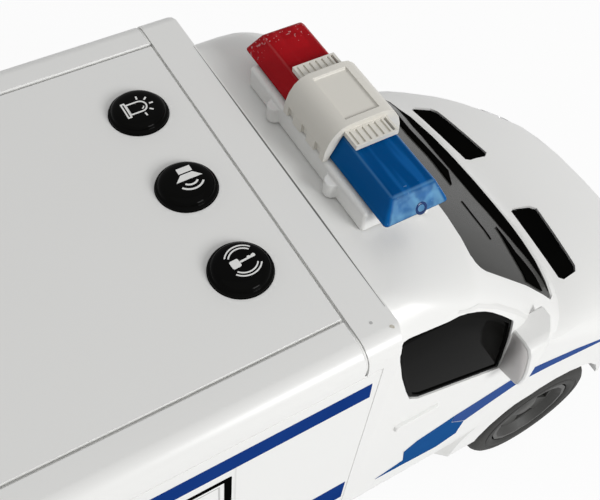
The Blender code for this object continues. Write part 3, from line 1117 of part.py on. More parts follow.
tray = add("chassis_tray", plate([tray_outline(0.0)], CHASSIS_Z, SILL_Z - FIT), DARK)
cut(tray, plate([tray_outline(CHASSIS_WALL)], PLATE_Z, SILL_Z + 0.01))
bearing_y = REAR_WAIST - CHASSIS_WALL
BEARING_LENGTH = 0.003
BEARING_HALF = 0.005
BOSS_RADIUS = 0.0034
STEER_POST_RADIUS = 0.0026
for side in (LEFT, RIGHT):
    ends = sorted((side * (bearing_y - BEARING_LENGTH), side * REAR_WAIST))
    join(tray, block((REAR_AXLE_X - BEARING_HALF, ends[0], PLATE_Z - 0.001),
                     (REAR_AXLE_X + BEARING_HALF, ends[1], AXLE_Z + BEARING_HALF)))
    ends = sorted((side * (FRONT_WAIST - 0.004), side * KINGPIN_Y))
    join(tray, block((FRONT_AXLE_X - BOSS_RADIUS, ends[0], CHASSIS_Z),
                     (FRONT_AXLE_X + BOSS_RADIUS, ends[1], PLATE_Z)))
    join(tray, rod((FRONT_AXLE_X, side * KINGPIN_Y, CHASSIS_Z),
                   (FRONT_AXLE_X, side * KINGPIN_Y, KNUCKLE_LOW_Z - 0.0005), BOSS_RADIUS, 10))
    join(tray, rod((FRONT_AXLE_X, side * steer_post_y, PLATE_Z - 0.001),
                   (FRONT_AXLE_X, side * steer_post_y, COVER_Z - FIT), STEER_POST_RADIUS, 8))
cut(tray, rod((REAR_AXLE_X, -0.05, AXLE_Z), (REAR_AXLE_X, 0.05, AXLE_Z), AXLE_RADIUS + FIT, 16))
cut(tray, many([rod((FRONT_AXLE_X, side * KINGPIN_Y, CHASSIS_Z - 0.001),
                    (FRONT_AXLE_X, side * KINGPIN_Y, KNUCKLE_LOW_Z + 0.001),
                    KINGPIN_RADIUS + FIT, 12) for side in (LEFT, RIGHT)]))

# Battery pack in a bay with a cover flush in the chassis plate
cell_rear = pinion_at[0] + MOTOR_RADIUS + 0.008
cell_front = cell_rear + CELL_LENGTH
cell_z = PLATE_Z + FIT + CELL_RADIUS
cell_ring = ring((0, cell_z), CELL_RADIUS, 20)
pack_loop = hull([(round(side * CELL_RADIUS + a, 9), round(b, 9)) for side in (-1, 1) for a, b in cell_ring])
add("battery_pack", plate([pack_loop], cell_rear, cell_front, ALONG_X), CELL)
cover_half_y = 2 * CELL_RADIUS + 0.003
opening = (cell_rear - 0.003, cell_front + 0.003)
cut(tray, block((opening[0], -cover_half_y, CHASSIS_Z - 0.001), (opening[1], cover_half_y, PLATE_Z + 0.001)))
add("battery_cover", block((opening[0] + FIT, -cover_half_y + FIT, CHASSIS_Z),
                           (opening[1] - FIT, cover_half_y - FIT, PLATE_Z)), DARK)

# Speaker over its slots, receiver board on posts above it
speaker_x = opening[1] + 0.003 + SPEAKER_RADIUS
speaker_low = PLATE_Z + FIT
cone = SPEAKER_RADIUS * 0.8
speaker_profile = [(0.0, SPEAKER_HEIGHT), (SPEAKER_RADIUS * 0.55, SPEAKER_HEIGHT),
                   (SPEAKER_RADIUS * 0.55, SPEAKER_HEIGHT * 0.55),
                   (SPEAKER_RADIUS, SPEAKER_HEIGHT * 0.4), (SPEAKER_RADIUS, 0.0), (cone, 0.0),
                   (cone * 0.35, 0.0016), (0.0, 0.0010)]
turned("speaker", speaker_profile, DARK, (speaker_x, 0, speaker_low), 0, 16)
SPEAKER_SLOTS = 4
slot_step = SPEAKER_RADIUS * 1.4 / SPEAKER_SLOTS
cut(tray, many([block((speaker_x - SPEAKER_RADIUS * 0.6, slot_step * (i - (SPEAKER_SLOTS - 1) / 2) - 0.0009,
                       CHASSIS_Z - 0.001),
                      (speaker_x + SPEAKER_RADIUS * 0.6, slot_step * (i - (SPEAKER_SLOTS - 1) / 2) + 0.0009,
                       PLATE_Z + 0.001))
                for i in range(SPEAKER_SLOTS)]))
RECEIVER_END = 0.001
RECEIVER_SIDE = 0.0065
CHIP_LENGTH = 0.007
CHIP_WIDTH = 0.010
CHIP_HEIGHT = 0.0022
CAN_HEIGHT = 0.0065
CAN_RADIUS = 0.0025
POST_EDGE = 0.003              # post inside the edge of the receiver board
board_half_x, board_half_y = SPEAKER_RADIUS + RECEIVER_END, SPEAKER_RADIUS + RECEIVER_SIDE
receiver = add("receiver_board", block((speaker_x - board_half_x, -board_half_y, RECEIVER_Z),
                                       (speaker_x + board_half_x, board_half_y,
                                        RECEIVER_Z + BOARD_THICKNESS)), BOARD)
top = RECEIVER_Z + BOARD_THICKNESS - 0.0003
join(receiver, block((speaker_x - CHIP_LENGTH, -CHIP_WIDTH, top), (speaker_x, 0, top + CHIP_HEIGHT)),
     block((speaker_x - CHIP_LENGTH, CHIP_WIDTH / 2, top), (speaker_x, CHIP_WIDTH, top + CAN_HEIGHT)),
     rod((speaker_x + CHIP_LENGTH, -CHIP_WIDTH / 2, top),
         (speaker_x + CHIP_LENGTH, -CHIP_WIDTH / 2, top + CAN_HEIGHT),
         CAN_RADIUS, 12))
for y in (-board_half_y + POST_EDGE, board_half_y - POST_EDGE):
    join(tray, rod((speaker_x, y, PLATE_Z - 0.001), (speaker_x, y, RECEIVER_Z - FIT), POST_RADIUS, 8))

# Power switch slides in a slot beside the speaker
SWITCH_TRAVEL = 0.004
SWITCH_HALF = 0.0016
switch_x, switch_y = speaker_x, -board_half_y - 0.009
slot_rear, slot_front = switch_x - SWITCH_HALF - FIT, switch_x + SWITCH_HALF + SWITCH_TRAVEL + FIT
cut(tray, block((slot_rear, switch_y - SWITCH_HALF - FIT, CHASSIS_Z - 0.001),
                (slot_front, switch_y + SWITCH_HALF + FIT, PLATE_Z + 0.001)))
power_switch = add("power_switch", block((switch_x - SWITCH_HALF, switch_y - SWITCH_HALF, CHASSIS_Z - 0.0018),
                                         (switch_x + SWITCH_HALF, switch_y + SWITCH_HALF, PLATE_Z + 0.001)),
                   DARK,
                   (switch_x, switch_y, CHASSIS_Z))
join(power_switch, block((switch_x - 0.005, switch_y - 0.003, PLATE_Z + FIT),
                         (switch_x + 0.005, switch_y + 0.003, PLATE_Z + 0.002)))
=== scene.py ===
import json
import math

import bpy
from mathutils import Matrix, Vector


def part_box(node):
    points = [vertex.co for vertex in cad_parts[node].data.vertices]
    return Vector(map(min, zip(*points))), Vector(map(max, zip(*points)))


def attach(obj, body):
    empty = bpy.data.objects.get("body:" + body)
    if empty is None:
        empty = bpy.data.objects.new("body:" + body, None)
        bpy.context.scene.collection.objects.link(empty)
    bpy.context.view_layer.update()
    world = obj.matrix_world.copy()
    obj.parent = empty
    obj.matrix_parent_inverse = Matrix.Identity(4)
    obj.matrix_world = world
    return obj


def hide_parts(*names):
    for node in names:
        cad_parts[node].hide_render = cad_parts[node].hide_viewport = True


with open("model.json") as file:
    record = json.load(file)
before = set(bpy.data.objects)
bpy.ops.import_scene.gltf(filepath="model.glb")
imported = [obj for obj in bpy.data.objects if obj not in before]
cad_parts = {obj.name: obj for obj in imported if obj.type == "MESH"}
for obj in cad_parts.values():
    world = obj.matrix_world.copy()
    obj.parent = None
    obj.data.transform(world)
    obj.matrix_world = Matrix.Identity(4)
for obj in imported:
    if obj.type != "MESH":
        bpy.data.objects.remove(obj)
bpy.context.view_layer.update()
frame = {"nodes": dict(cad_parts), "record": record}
nodes = frame["nodes"]
slotOf = {row["node"]: row["material_slot"] for row in frame["record"]["subparts"]}
bodyOf = {node: body for body, names in frame["record"]["behaviour"]["bodies"].items() for node in names}
print("frame loaded:", len(nodes), "nodes")


def linked(name, data):
    made = bpy.data.objects.new(name, data)
    bpy.context.scene.collection.objects.link(made)
    return made


# stands at a place and looks at an aim, as the camera and the lamps do
def aimed(look):
    place = Vector(look["place"])
    turn = (Vector(look["aim"]) - place).to_track_quat("-Z", "Y").to_matrix().to_4x4()
    return Matrix.Translation(place) @ turn


# camera at the photograph's place: close above the box's near side, looking down over the light bar
cameraView = {"place": (-0.05047, -0.10245, 0.26491), "aim": (0.00781, -0.02368, 0.1270), "roll": 7.125,
              "lens": 53.04, "nearest": 0.005}


def placeCamera(view):
    data = bpy.data.cameras.new("photoCamera")
    data.lens = view["lens"]
    data.clip_start = view["nearest"]
    camera = linked("photoCamera", data)
    camera.matrix_world = aimed(view) @ Matrix.Rotation(math.radians(view["roll"]), 4, "Z")
    bpy.context.scene.camera = camera


placeCamera(cameraView)
print("camera placed")


# a value or colour on its way through a material's nodes
class Wire:
    def __init__(self, tree, socket=None):
        self.tree = tree
        self.socket = socket

    def node(self, kind, settings=None, inputs=None, out=0):
        made = self.tree.nodes.new(kind)
        for key, value in (settings or {}).items():
            setattr(made, key, value)
        for key, value in (inputs or {}).items():
            target = made.inputs[key]
            if isinstance(value, Wire):
                self.tree.links.new(value.socket, target)
            else:
                target.default_value = value
        return Wire(self.tree, made.outputs[out])

    def maths(self, operation, first, second=0.0):
        return self.node("ShaderNodeMath", {"operation": operation}, {0: first, 1: second})

    def __add__(self, other):
        return self.maths("ADD", self, other)

    def __radd__(self, other):
        return self.maths("ADD", other, self)

    def __sub__(self, other):
        return self.maths("SUBTRACT", self, other)

    def __rsub__(self, other):
        return self.maths("SUBTRACT", other, self)

    def __mul__(self, other):
        return self.maths("MULTIPLY", self, other)

    def __rmul__(self, other):
        return self.maths("MULTIPLY", other, self)

    def __gt__(self, other):
        return self.maths("GREATER_THAN", self, other)


def mixColour(wire, factor, *ends):
    first, second = [end if isinstance(end, Wire) else (*end, 1) for end in ends]
    return wire.node("ShaderNodeMix", {"data_type": "RGBA"}, {0: factor, 6: first, 7: second}, 2)


def newFinish(name, fixed):
    material = bpy.data.materials.new(name)
    material.use_nodes = True
    shader = material.node_tree.nodes["Principled BSDF"]
    for key, value in fixed.items():
        shader.inputs[key].default_value = value
    wire = Wire(material.node_tree)
    place = wire.node("ShaderNodeTexCoord", out=3)
    return material, shader, wire, place


def feed(wire, shader, key, value):
    wire.tree.links.new(value.socket, shader.inputs[key])


def grain(wire, place, scale, detail=2.0):
    return wire.node("ShaderNodeTexNoise", {"noise_dimensions": "3D"},
                     {"Vector": place, "Scale": scale, "Detail": detail})


def bumped(wire, strength, depth, height):
    return wire.node("ShaderNodeBump", None, {"Strength": strength, "Distance": depth, "Height": height})


# moulded plastics, rubber, metals and inks: two near tones, a grain in the gloss and a slight bump
mouldGrain = {"detail": 4.0, "depth": 0.0002}
inkLook = {"broad": 110.0, "fine": 1200.0, "gloss": (0.30, 0.1), "bump": 0.03, "fixed": {"IOR": 1.0}}
metalLook = {"dark": (0.50, 0.50, 0.51), "light": (0.62, 0.62, 0.63), "broad": 90.0, "fine": 2000.0,
             "gloss": (0.25, 0.2), "bump": 0.05, "fixed": {"Metallic": 1.0}}
finishLooks = {
    "white_abs": {"dark": (0.78, 0.78, 0.765), "light": (0.80, 0.80, 0.785), "broad": 25.0, "fine": 900.0,
                  "gloss": (0.26, 0.08), "bump": 0.012, "fixed": {"Specular IOR Level": 0.45}},
    "black_gloss": {"dark": (0.0015, 0.0015, 0.0014), "light": (0.0030, 0.0030, 0.0026), "broad": 90.0,
                    "fine": 500.0, "gloss": (0.05, 0.06), "bump": 0.01, "fixed": {"Specular IOR Level": 0.008}},
    "coverWhite": {"dark": (0.685, 0.66, 0.60), "light": (0.72, 0.70, 0.645), "broad": 40.0, "fine": 900.0,
                   "gloss": (0.34, 0.08), "bump": 0.012, "fixed": {"Specular IOR Level": 0.35}},
    "capBlack": {"dark": (0.0012, 0.0012, 0.0011), "light": (0.0024, 0.0024, 0.0021), "broad": 90.0,
                 "fine": 500.0, "gloss": (0.05, 0.05), "bump": 0.01, "fixed": {"Specular IOR Level": 0.03}},
    "tinted_screen": {"dark": (0.034, 0.034, 0.032), "light": (0.044, 0.044, 0.041), "broad": 50.0, "fine": 500.0,
                      "gloss": (0.16, 0.06), "bump": 0.01, "fixed": {"Specular IOR Level": 0.02}},
    "dark_abs": {"dark": (0.040, 0.040, 0.038), "light": (0.052, 0.052, 0.049), "broad": 70.0, "fine": 1600.0,
                 "gloss": (0.42, 0.2), "bump": 0.10, "fixed": {"Specular IOR Level": 0.4}},
    "tyre": {"dark": (0.020, 0.020, 0.019), "light": (0.029, 0.029, 0.027), "broad": 120.0, "fine": 1800.0,
             "gloss": (0.62, 0.2), "bump": 0.16, "fixed": {"Specular IOR Level": 0.35}},
    "tailRed": {"dark": (0.36, 0.006, 0.016), "light": (0.44, 0.010, 0.022), "broad": 60.0, "fine": 400.0,
                "gloss": (0.08, 0.06), "bump": 0.01,
                "fixed": {"Transmission Weight": 0.3, "IOR": 1.49, "Specular IOR Level": 0.25}},
    "lamp_lens": {"dark": (0.80, 0.83, 0.85), "light": (0.88, 0.9, 0.92), "broad": 80.0, "fine": 400.0,
                  "gloss": (0.05, 0.06), "bump": 0.01, "fixed": {"Transmission Weight": 0.6, "IOR": 1.49}},
    "steel": metalLook,
    "motor_can": metalLook,
    "nylon": {"dark": (0.68, 0.66, 0.58), "light": (0.76, 0.74, 0.66), "broad": 90.0, "fine": 1500.0,
              "gloss": (0.4, 0.2), "bump": 0.08, "fixed": {"Subsurface Weight": 0.05}},
    "circuit_board": {"dark": (0.012, 0.11, 0.045), "light": (0.02, 0.16, 0.06), "broad": 160.0, "fine": 900.0,
                      "gloss": (0.3, 0.2), "bump": 0.05, "fixed": {}},
    "battery_wrap": {"dark": (0.03, 0.07, 0.24), "light": (0.05, 0.11, 0.32), "broad": 90.0, "fine": 900.0,
                     "gloss": (0.2, 0.2), "bump": 0.05, "fixed": {}},
    "stripeBlue": {**inkLook, "dark": (0.006, 0.032, 0.175), "light": (0.010, 0.044, 0.215)},
    "bladeBlue": {**inkLook, "dark": (0.010, 0.070, 0.235), "light": (0.016, 0.090, 0.28)},
    "stripeDull": {**inkLook, "dark": (0.034, 0.078, 0.25), "light": (0.046, 0.094, 0.29)},
    "printBlack": {**inkLook, "dark": (0.0016, 0.0016, 0.0015), "light": (0.0032, 0.0032, 0.0029), "bump": 0.02},
    "printGrey": {**inkLook, "dark": (0.42, 0.42, 0.42), "light": (0.50, 0.50, 0.49), "bump": 0.02, "fixed": {}},
    # painted shade: a greyed white for the mirrors' shadowed rear face
    "mirrorShadeGrey": {"dark": (0.64, 0.62, 0.61), "light": (0.70, 0.68, 0.67), "broad": 60.0, "fine": 700.0,
                   "gloss": (0.36, 0.1), "bump": 0.01, "fixed": {"Specular IOR Level": 0.08}},
    # pale grey for the box sides' panel line, and painted shade along the crease round the cab window
    "panelLineAndCreaseShade": {"dark": (0.70, 0.70, 0.685), "light": (0.73, 0.73, 0.715), "broad": 60.0, "fine": 900.0,
                   "gloss": (0.30, 0.08), "bump": 0.012, "fixed": {"Specular IOR Level": 0.4}},
    "bossNavy": {"dark": (0.001, 0.018, 0.09), "light": (0.002, 0.034, 0.15), "broad": 400.0, "fine": 900.0,
                 "gloss": (0.08, 0.06), "bump": 0.02, "fixed": {"Specular IOR Level": 0.3}},
    "scuffBrown": {"dark": (0.36, 0.33, 0.27), "light": (0.62, 0.60, 0.54), "broad": 2500.0, "fine": 1200.0,
                   "gloss": (0.5, 0.1), "bump": 0.02, "fixed": {"Specular IOR Level": 0.2}},
    # painted shade: a dark grey for the shadowed gap at the roof hoop's front edge
    "seamShadeGrey": {"dark": (0.14, 0.14, 0.135), "light": (0.19, 0.19, 0.185), "broad": 200.0, "fine": 1200.0,
                 "gloss": (0.5, 0.1), "bump": 0.02, "fixed": {"Specular IOR Level": 0.2}},
    "iconWhite": {"dark": (0.74, 0.74, 0.73), "light": (0.82, 0.82, 0.80), "broad": 400.0, "fine": 2500.0,
                  "gloss": (0.4, 0.15), "bump": 0.06, "fixed": {}},
    "lampSilver": {"dark": (0.58, 0.58, 0.59), "light": (0.70, 0.70, 0.71), "broad": 90.0, "fine": 1200.0,
                   "gloss": (0.14, 0.1), "bump": 0.02, "fixed": {"Metallic": 1.0}},
}


def mouldedFinish(name, look, texture):
    material, shader, wire, place = newFinish(name, look["fixed"])
    broad = grain(wire, place, look["broad"])
    fine = grain(wire, place, look["fine"], texture["detail"])
    smoothest, spread = look["gloss"]
    feed(wire, shader, "Base Color", mixColour(wire, broad, look["dark"], look["light"]))
    feed(wire, shader, "Roughness", fine * spread + smoothest)
    feed(wire, shader, "Normal", bumped(wire, look["bump"], texture["depth"], fine))
    return material


finishes = {name: mouldedFinish(name, look, mouldGrain) for name, look in finishLooks.items()}


# light bar lenses: clear tinted plastic with drawn streaks and rubbed spots; the sloping end is painted paler, painted
# light where the light falls on it, with painted glints on it; painted highlights run along the top edges and the foot
# is darker;
# each pair of lengths is where a change of tint starts and ends
lensShape = {"foot": 0.1287, "middle": 0.0318, "reach": 0.0286, "slope": 0.527, "lean": 0.42,
             "endFace": (-0.0008, -0.0004), "panelSide": (0.0073, 0.0065), "panelTop": (0.0052, 0.0046),
             "flank": (0.0068, 0.0073), "highlightSide": (0.0046, 0.0052), "highlightEnd": (0.0249, 0.0256),
             "highlightTop": (0.0049, 0.0054), "footLine": (0.0007, 0.0002), "rubbed": (0.016, 0.0262)}
# the Voronoi lines and the cloud shape the painted glints and painted light on the end panel
lensGrain = {"drawn": (1.0, 0.1, 1.0), "streaks": (360.0, 0.47, 0.64), "glintLines": (170.0, 0.16, 0.0),
             "cloud": (330.0, 0.40, 0.62), "scratch": (1500.0, 4.0), "gloss": (0.04, 0.12), "bump": (0.05, 0.0003)}
lensMix = {"flank": 0.8, "panel": (0.7, 0.3), "glintLines": 0.35, "cloud": 0.3, "edge": 0.45, "foot": 0.8, "rubbed": 0.22,
           "scuff": 0.7}
lensFixed = {"Transmission Weight": 0.35, "IOR": 1.15, "Specular IOR Level": 0.02}
# the pale tone is painted light on the sloping end, and the glint tone is a painted highlight
lensLooks = {
    "red_lens": {"deep": (0.46, 0.008, 0.014), "body": (0.56, 0.016, 0.024), "pale": (0.48, 0.05, 0.06),
                 "paintedGlint": (0.62, 0.20, 0.20), "scuff": (0.78, 0.52, 0.52), "wear": 0.82, "dark": (0.10, 0.002, 0.004),
                 "fixed": lensFixed},
    "blue_lens": {"deep": (0.0, 0.090, 0.31), "body": (0.007, 0.145, 0.455), "pale": (0.10, 0.25, 0.50),
                  "paintedGlint": (0.24, 0.54, 0.80), "scuff": (0.16, 0.36, 0.62), "wear": 0.90, "dark": (0.0, 0.010, 0.06),
                  "fixed": lensFixed},
}


def eased(wire, value, start, end):
    return wire.node("ShaderNodeMapRange", {"interpolation_type": "SMOOTHSTEP"},
                     {"Value": value, "From Min": start, "From Max": end})


def lensFinish(name, look, shape, texture, mix):
    material, shader, wire, place = newFinish(name, look["fixed"])
    axes = [wire.node("ShaderNodeSeparateXYZ", None, {"Vector": place}, i) for i in range(3)]
    reach = wire.maths("ABSOLUTE", axes[1])
    height = axes[2] - shape["foot"]
    aside = wire.maths("ABSOLUTE", axes[0] - shape["middle"])
    flank = aside + height * shape["lean"]
    # painted light: the panel mask marks the sloping end, which is painted paler and given painted glints
    endFace = eased(wire, reach + height * shape["slope"], *[shape["reach"] + step for step in shape["endFace"]])
    panel = endFace * eased(wire, flank, *shape["panelSide"]) * eased(wire, height, *shape["panelTop"])
    # painted highlight: a lighter band along the top edges of the lens
    edge = wire.maths("MAXIMUM", eased(wire, aside, *shape["highlightSide"]), eased(wire, reach, *shape["highlightEnd"]))
    edge = eased(wire, height, *shape["highlightTop"]) * edge

    drawn = wire.node("ShaderNodeMapping", None, {"Vector": place, "Scale": texture["drawn"]})
    scale, start, end = texture["streaks"]
    streaks = eased(wire, grain(wire, drawn, scale), start, end)
    scale, start, end = texture["glintLines"]
    glintLines = wire.node("ShaderNodeTexVoronoi", {"feature": "DISTANCE_TO_EDGE"}, {"Vector": place, "Scale": scale})
    glintLines = eased(wire, glintLines, start, end)
    scale, start, end = texture["cloud"]
    cloud = eased(wire, grain(wire, place, scale), start, end)
    scratch = grain(wire, place, *texture["scratch"])
    worn = (scratch + eased(wire, reach, *shape["rubbed"]) * mix["rubbed"]) > look["wear"]

    least, more = mix["panel"]
    tint = mixColour(wire, streaks, look["deep"], look["body"])
    tint = mixColour(wire, eased(wire, flank, *shape["flank"]) * mix["flank"], tint, look["body"])
    # painted light on the end panel and painted highlights on the edges are mixed in here
    tint = mixColour(wire, panel * (cloud * more + least), tint, look["pale"])
    tint = mixColour(wire, panel * (glintLines * mix["glintLines"] + cloud * mix["cloud"]), tint, look["paintedGlint"])
    tint = mixColour(wire, edge * mix["edge"], tint, look["paintedGlint"])
    tint = mixColour(wire, eased(wire, height, *shape["footLine"]) * mix["foot"], tint, look["dark"])
    tint = mixColour(wire, worn * mix["scuff"], tint, look["scuff"])
    smoothest, spread = texture["gloss"]
    feed(wire, shader, "Base Color", tint)
    feed(wire, shader, "Roughness", scratch * spread + smoothest)
    feed(wire, shader, "Normal", bumped(wire, *texture["bump"], streaks))
    return material


for name, look in lensLooks.items():
    finishes[name] = lensFinish(name, look, lensShape, lensGrain, lensMix)
for node, slot in slotOf.items():
    mesh = nodes[node].data
    mesh.materials.clear()
    mesh.materials.append(finishes[slot])
print("finishes made:", len(finishes))


def pick(piece):
    bpy.ops.object.select_all(action="DESELECT")
    piece.select_set(True)
    bpy.context.view_layer.objects.active = piece


def shapeAll(piece, *steps):
    pick(piece)
    bpy.ops.object.mode_set(mode="EDIT")
    bpy.ops.mesh.select_all(action="SELECT")
    for step in steps:
        step()
    bpy.ops.object.mode_set(mode="OBJECT")


# leaves edit mode open, with the wanted faces or edges selected
def choose(piece, kind, wanted):
    pick(piece)
    bpy.ops.object.mode_set(mode="EDIT")
    bpy.ops.mesh.select_mode(type=kind)
    bpy.ops.mesh.select_all(action="DESELECT")
    bpy.ops.object.mode_set(mode="OBJECT")
    for item in piece.data.polygons if kind == "FACE" else piece.data.edges:
        item.select = wanted(item)
    bpy.ops.object.mode_set(mode="EDIT")


def leaveEdit():
    bpy.ops.mesh.select_mode(type="VERT")
    bpy.ops.object.mode_set(mode="OBJECT")


def mergeSeams():
    bpy.ops.mesh.remove_doubles(threshold=0.000002)


def faceOut():
    bpy.ops.mesh.normals_make_consistent(inside=False)


def addModifier(piece, kind, **settings):
    modifier = piece.modifiers.new(kind.lower(), kind)
    for key, value in settings.items():
        setattr(modifier, key, value)
    pick(piece)
    bpy.ops.object.modifier_apply(modifier=modifier.name)


def bevel(piece, width, corner):
    addModifier(piece, "BEVEL", width=width, segments=2, limit_method="ANGLE", angle_limit=math.radians(corner),
                use_clamp_overlap=True)


def polish(piece, degrees=40):
    pick(piece)
    bpy.ops.object.shade_smooth_by_angle(angle=math.radians(degrees))
    addModifier(piece, "WEIGHTED_NORMAL", keep_sharp=True)


def dress(piece, finish, body):
    piece.data.materials.clear()
    piece.data.materials.append(finishes[finish])
    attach(piece, body)


# moulded pieces: the solids' shapes with small edge radii and clean shading; "lift" and "seat" move a side's faces
# outward or inward, "dish" and "ribs" raise floors at a level, "soft" and "lip" round chosen edges further, and faces
# under the "flat" angle become one
mouldDefault = {"edge": 0.0003, "corner": 40, "smooth": 38, "flat": 0.6}
mouldedPieces = {
    "cab_shell": {"edge": 0.0002, "corner": 34, "smooth": 40},
    "box_shell": {"edge": 0.0004, "corner": 34},
    "roof_rim": {"corner": 34},
    "roof_panel": {"edge": 0.0007, "lip": {"half": 0.0402, "level": 0.1269, "width": 0.0004, "rear": -0.12}},
    "mirror_left mirror_right": {"edge": 0.0004, "smooth": 50, "seat": 0.0005},
    "light_bar_base": {"smooth": 40},
    "light_bar_cover": {"edge": 0.0002, "corner": 34, "smooth": 36, "finish": "coverWhite",
                        "dish": {"level": 0.1363, "rise": 0.0004}, "ribs": {"level": 0.13504, "rise": 0.00028},
                        "soft": {"half": 0.0063, "level": 0.1366, "width": 0.00035}},
    "lens_red lens_blue": {"edge": 0.0002, "corner": 50, "smooth": 40},
    "rear_door_left rear_door_right": {},
    "side_window_left side_window_right": {"lift": 0.0010},
    "windscreen": {"smooth": 40},
    "bonnet_vent_left bonnet_vent_right": {"edge": 0.0002, "finish": "printBlack"},
    "front_bumper rear_bumper": {"edge": 0.0004, "corner": 36, "smooth": 40},
    "grille": {"edge": 0.0002},
    "headlamp_left headlamp_right": {"edge": 0.00022},
    "tail_lamp_left tail_lamp_right": {"corner": 50, "smooth": 40, "finish": "tailRed"},
    "rim_front_left rim_front_right rim_rear_left rim_rear_right": {"corner": 34, "smooth": 36},
    "chassis_tray": {"edge": 0.0004},
    "battery_cover steering_cover": {},
    "power_switch": {"edge": 0.0002},
}
sideSign = {"right": -1, "left": 1}

# how far a face or corner may turn or stray and still be chosen
faceLimits = {"side": 0.7, "pane": 30, "leaning": 0.25, "level": 0.00003, "up": 0.9, "front": 0.0002}
shown = {}


def liftPane(piece, outward, shift, limits):
    middle = sum((corner.co for corner in piece.data.vertices), Vector()) / len(piece.data.vertices)
    facing = [face for face in piece.data.polygons if face.normal.y * outward > limits["side"]]
    seed = min(facing, key=lambda face: (face.center - middle).length).index
    choose(piece, "FACE", lambda face: face.index == seed)
    bpy.ops.mesh.faces_select_linked_flat(sharpness=math.radians(limits["pane"]))
    bpy.ops.transform.translate(value=(0, outward * shift, 0))
    leaveEdit()


def seatInward(piece, outward, shift, limits):
    choose(piece, "FACE", lambda face: -face.normal.y * outward > limits["leaning"])
    bpy.ops.transform.translate(value=(0, -outward * shift, 0))
    leaveEdit()


def raiseFloors(piece, floor, limits):
    choose(piece, "FACE", lambda face: abs(face.center.z - floor["level"]) < limits["level"]
           and face.normal.z > limits["up"])
    bpy.ops.transform.translate(value=(0, 0, floor["rise"]))
    leaveEdit()


def softenEdges(piece, wanted, width):
    choose(piece, "EDGE", lambda edge: all(wanted(piece.data.vertices[i].co) for i in edge.vertices))
    bpy.ops.mesh.bevel(offset=width, segments=3, affect="EDGES")
    leaveEdit()


def softenDish(piece, dish):
    softenEdges(piece, lambda end: abs(end.y) < dish["half"] and end.z > dish["level"], dish["width"])


def softenLip(piece, lip, limits):
    front = max(corner.co.x for corner in piece.data.vertices) - limits["front"]
    softenEdges(piece, lambda end: end.z > lip["level"] and (abs(end.y) > lip["half"] or end.x > front
                                                             or end.x < lip["rear"]), lip["width"])


def mouldNode(node, look):
    piece = linked(node + "_moulded", nodes[node].data.copy())
    outward = sideSign.get(node.split("_")[-1])
    shapeAll(piece, mergeSeams, lambda: bpy.ops.mesh.dissolve_limited(angle_limit=math.radians(look["flat"])))
    if "lift" in look:
        liftPane(piece, outward, look["lift"], faceLimits)
    if "seat" in look:
        seatInward(piece, outward, look["seat"], faceLimits)
    for key in ("dish", "ribs"):
        if key in look:
            raiseFloors(piece, look[key], faceLimits)
    if "soft" in look:
        softenDish(piece, look["soft"])
    if "lip" in look:
        softenLip(piece, look["lip"], faceLimits)
    bevel(piece, look["edge"], look["corner"])
    polish(piece, look["smooth"])
    dress(piece, look.get("finish", slotOf[node]), bodyOf[node])
    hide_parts(node)
    shown[node] = piece


for names, changes in mouldedPieces.items():
    for node in names.split():
        mouldNode(node, {**mouldDefault, **changes})
print("moulded pieces:", len(shown))


# a profile of (radius, height) points spun round its axis; an open one starts and ends on the axis
def spinProfile(name, profile, steps, closed=False):
    bpy.ops.object.select_all(action="DESELECT")
    bpy.ops.mesh.primitive_circle_add(vertices=len(profile), location=(0, 0, 0))
    piece = bpy.context.object
    piece.name = name
    for corner, (radius, height) in zip(piece.data.vertices, profile):
        corner.co = (radius, 0, height)
    if not closed:
        choose(piece, "EDGE", lambda edge: set(edge.vertices) == {0, len(profile) - 1})
        bpy.ops.mesh.delete(type="EDGE")
        leaveEdit()
    shapeAll(piece, lambda: bpy.ops.mesh.spin(steps=steps, angle=2 * math.pi, center=(0, 0, 0), axis=(0, 0, 1)))
    shapeAll(piece, mergeSeams, faceOut)
    return piece


# roof buttons: stepped caps with a soft crown over the retaining flange, and a thin rim on the roof round each;
# the steps are (beyond the radius, below the top)
buttonLook = {"radius": 0.0063, "crown": 0.0057, "steps": 64, "flange": 0.0013, "flangeThick": 0.0013,
              "stem": 0.001, "stemTop": 0.0022, "stemFoot": 0.0020,
              "crownSteps": [(-0.0022, 0.00002), (-0.0013, 0.00009), (-0.0006, 0.00027), (-0.00018, 0.00055),
                             (0.0, 0.0009), (0.00002, 0.0011), (0.00012, 0.00122)],
              "shoulderSteps": [(-0.0002, 0.00130), (-0.00004, 0.00142), (0.0, 0.0016)],
              "rim": [(0.0064, -0.0004), (0.0064, -0.00012), (0.00646, 0.00001), (0.0069, 0.00003), (0.0073, 0.0),
                      (0.0073, -0.0004)]}
buttonNodes = ("button_light", "button_sound", "button_key")
buttonCaps = {}


def turnButton(node, look):
    low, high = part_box(node)
    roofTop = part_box("roof_panel")[1].z
    rise, foot = high.z - roofTop, low.z - roofTop
    cap, crown = look["radius"], look["crown"]
    flange, under = cap + look["flange"], foot + look["stem"]
    profile = [(0.0, rise)] + [(crown + beyond, rise - fall) for beyond, fall in look["crownSteps"]]
    profile += [(cap + beyond, rise - fall) for beyond, fall in look["shoulderSteps"]]
    profile += [(cap, under + look["flangeThick"]), (flange, under + look["flangeThick"]), (flange, under),
                (look["stemTop"], under), (look["stemFoot"], foot), (0.0, foot)]
    onRoof = Matrix.Translation(((low.x + high.x) / 2, (low.y + high.y) / 2, roofTop))
    piece = spinProfile(node + "_cap", profile, look["steps"])
    piece.data.transform(onRoof)
    polish(piece)
    dress(piece, "capBlack", bodyOf[node])
    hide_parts(node)
    buttonCaps[node] = piece
    rim = spinProfile(node + "_rim", look["rim"], look["steps"], True)
    rim.data.transform(onRoof)
    polish(rim)
    dress(rim, "white_abs", "van")


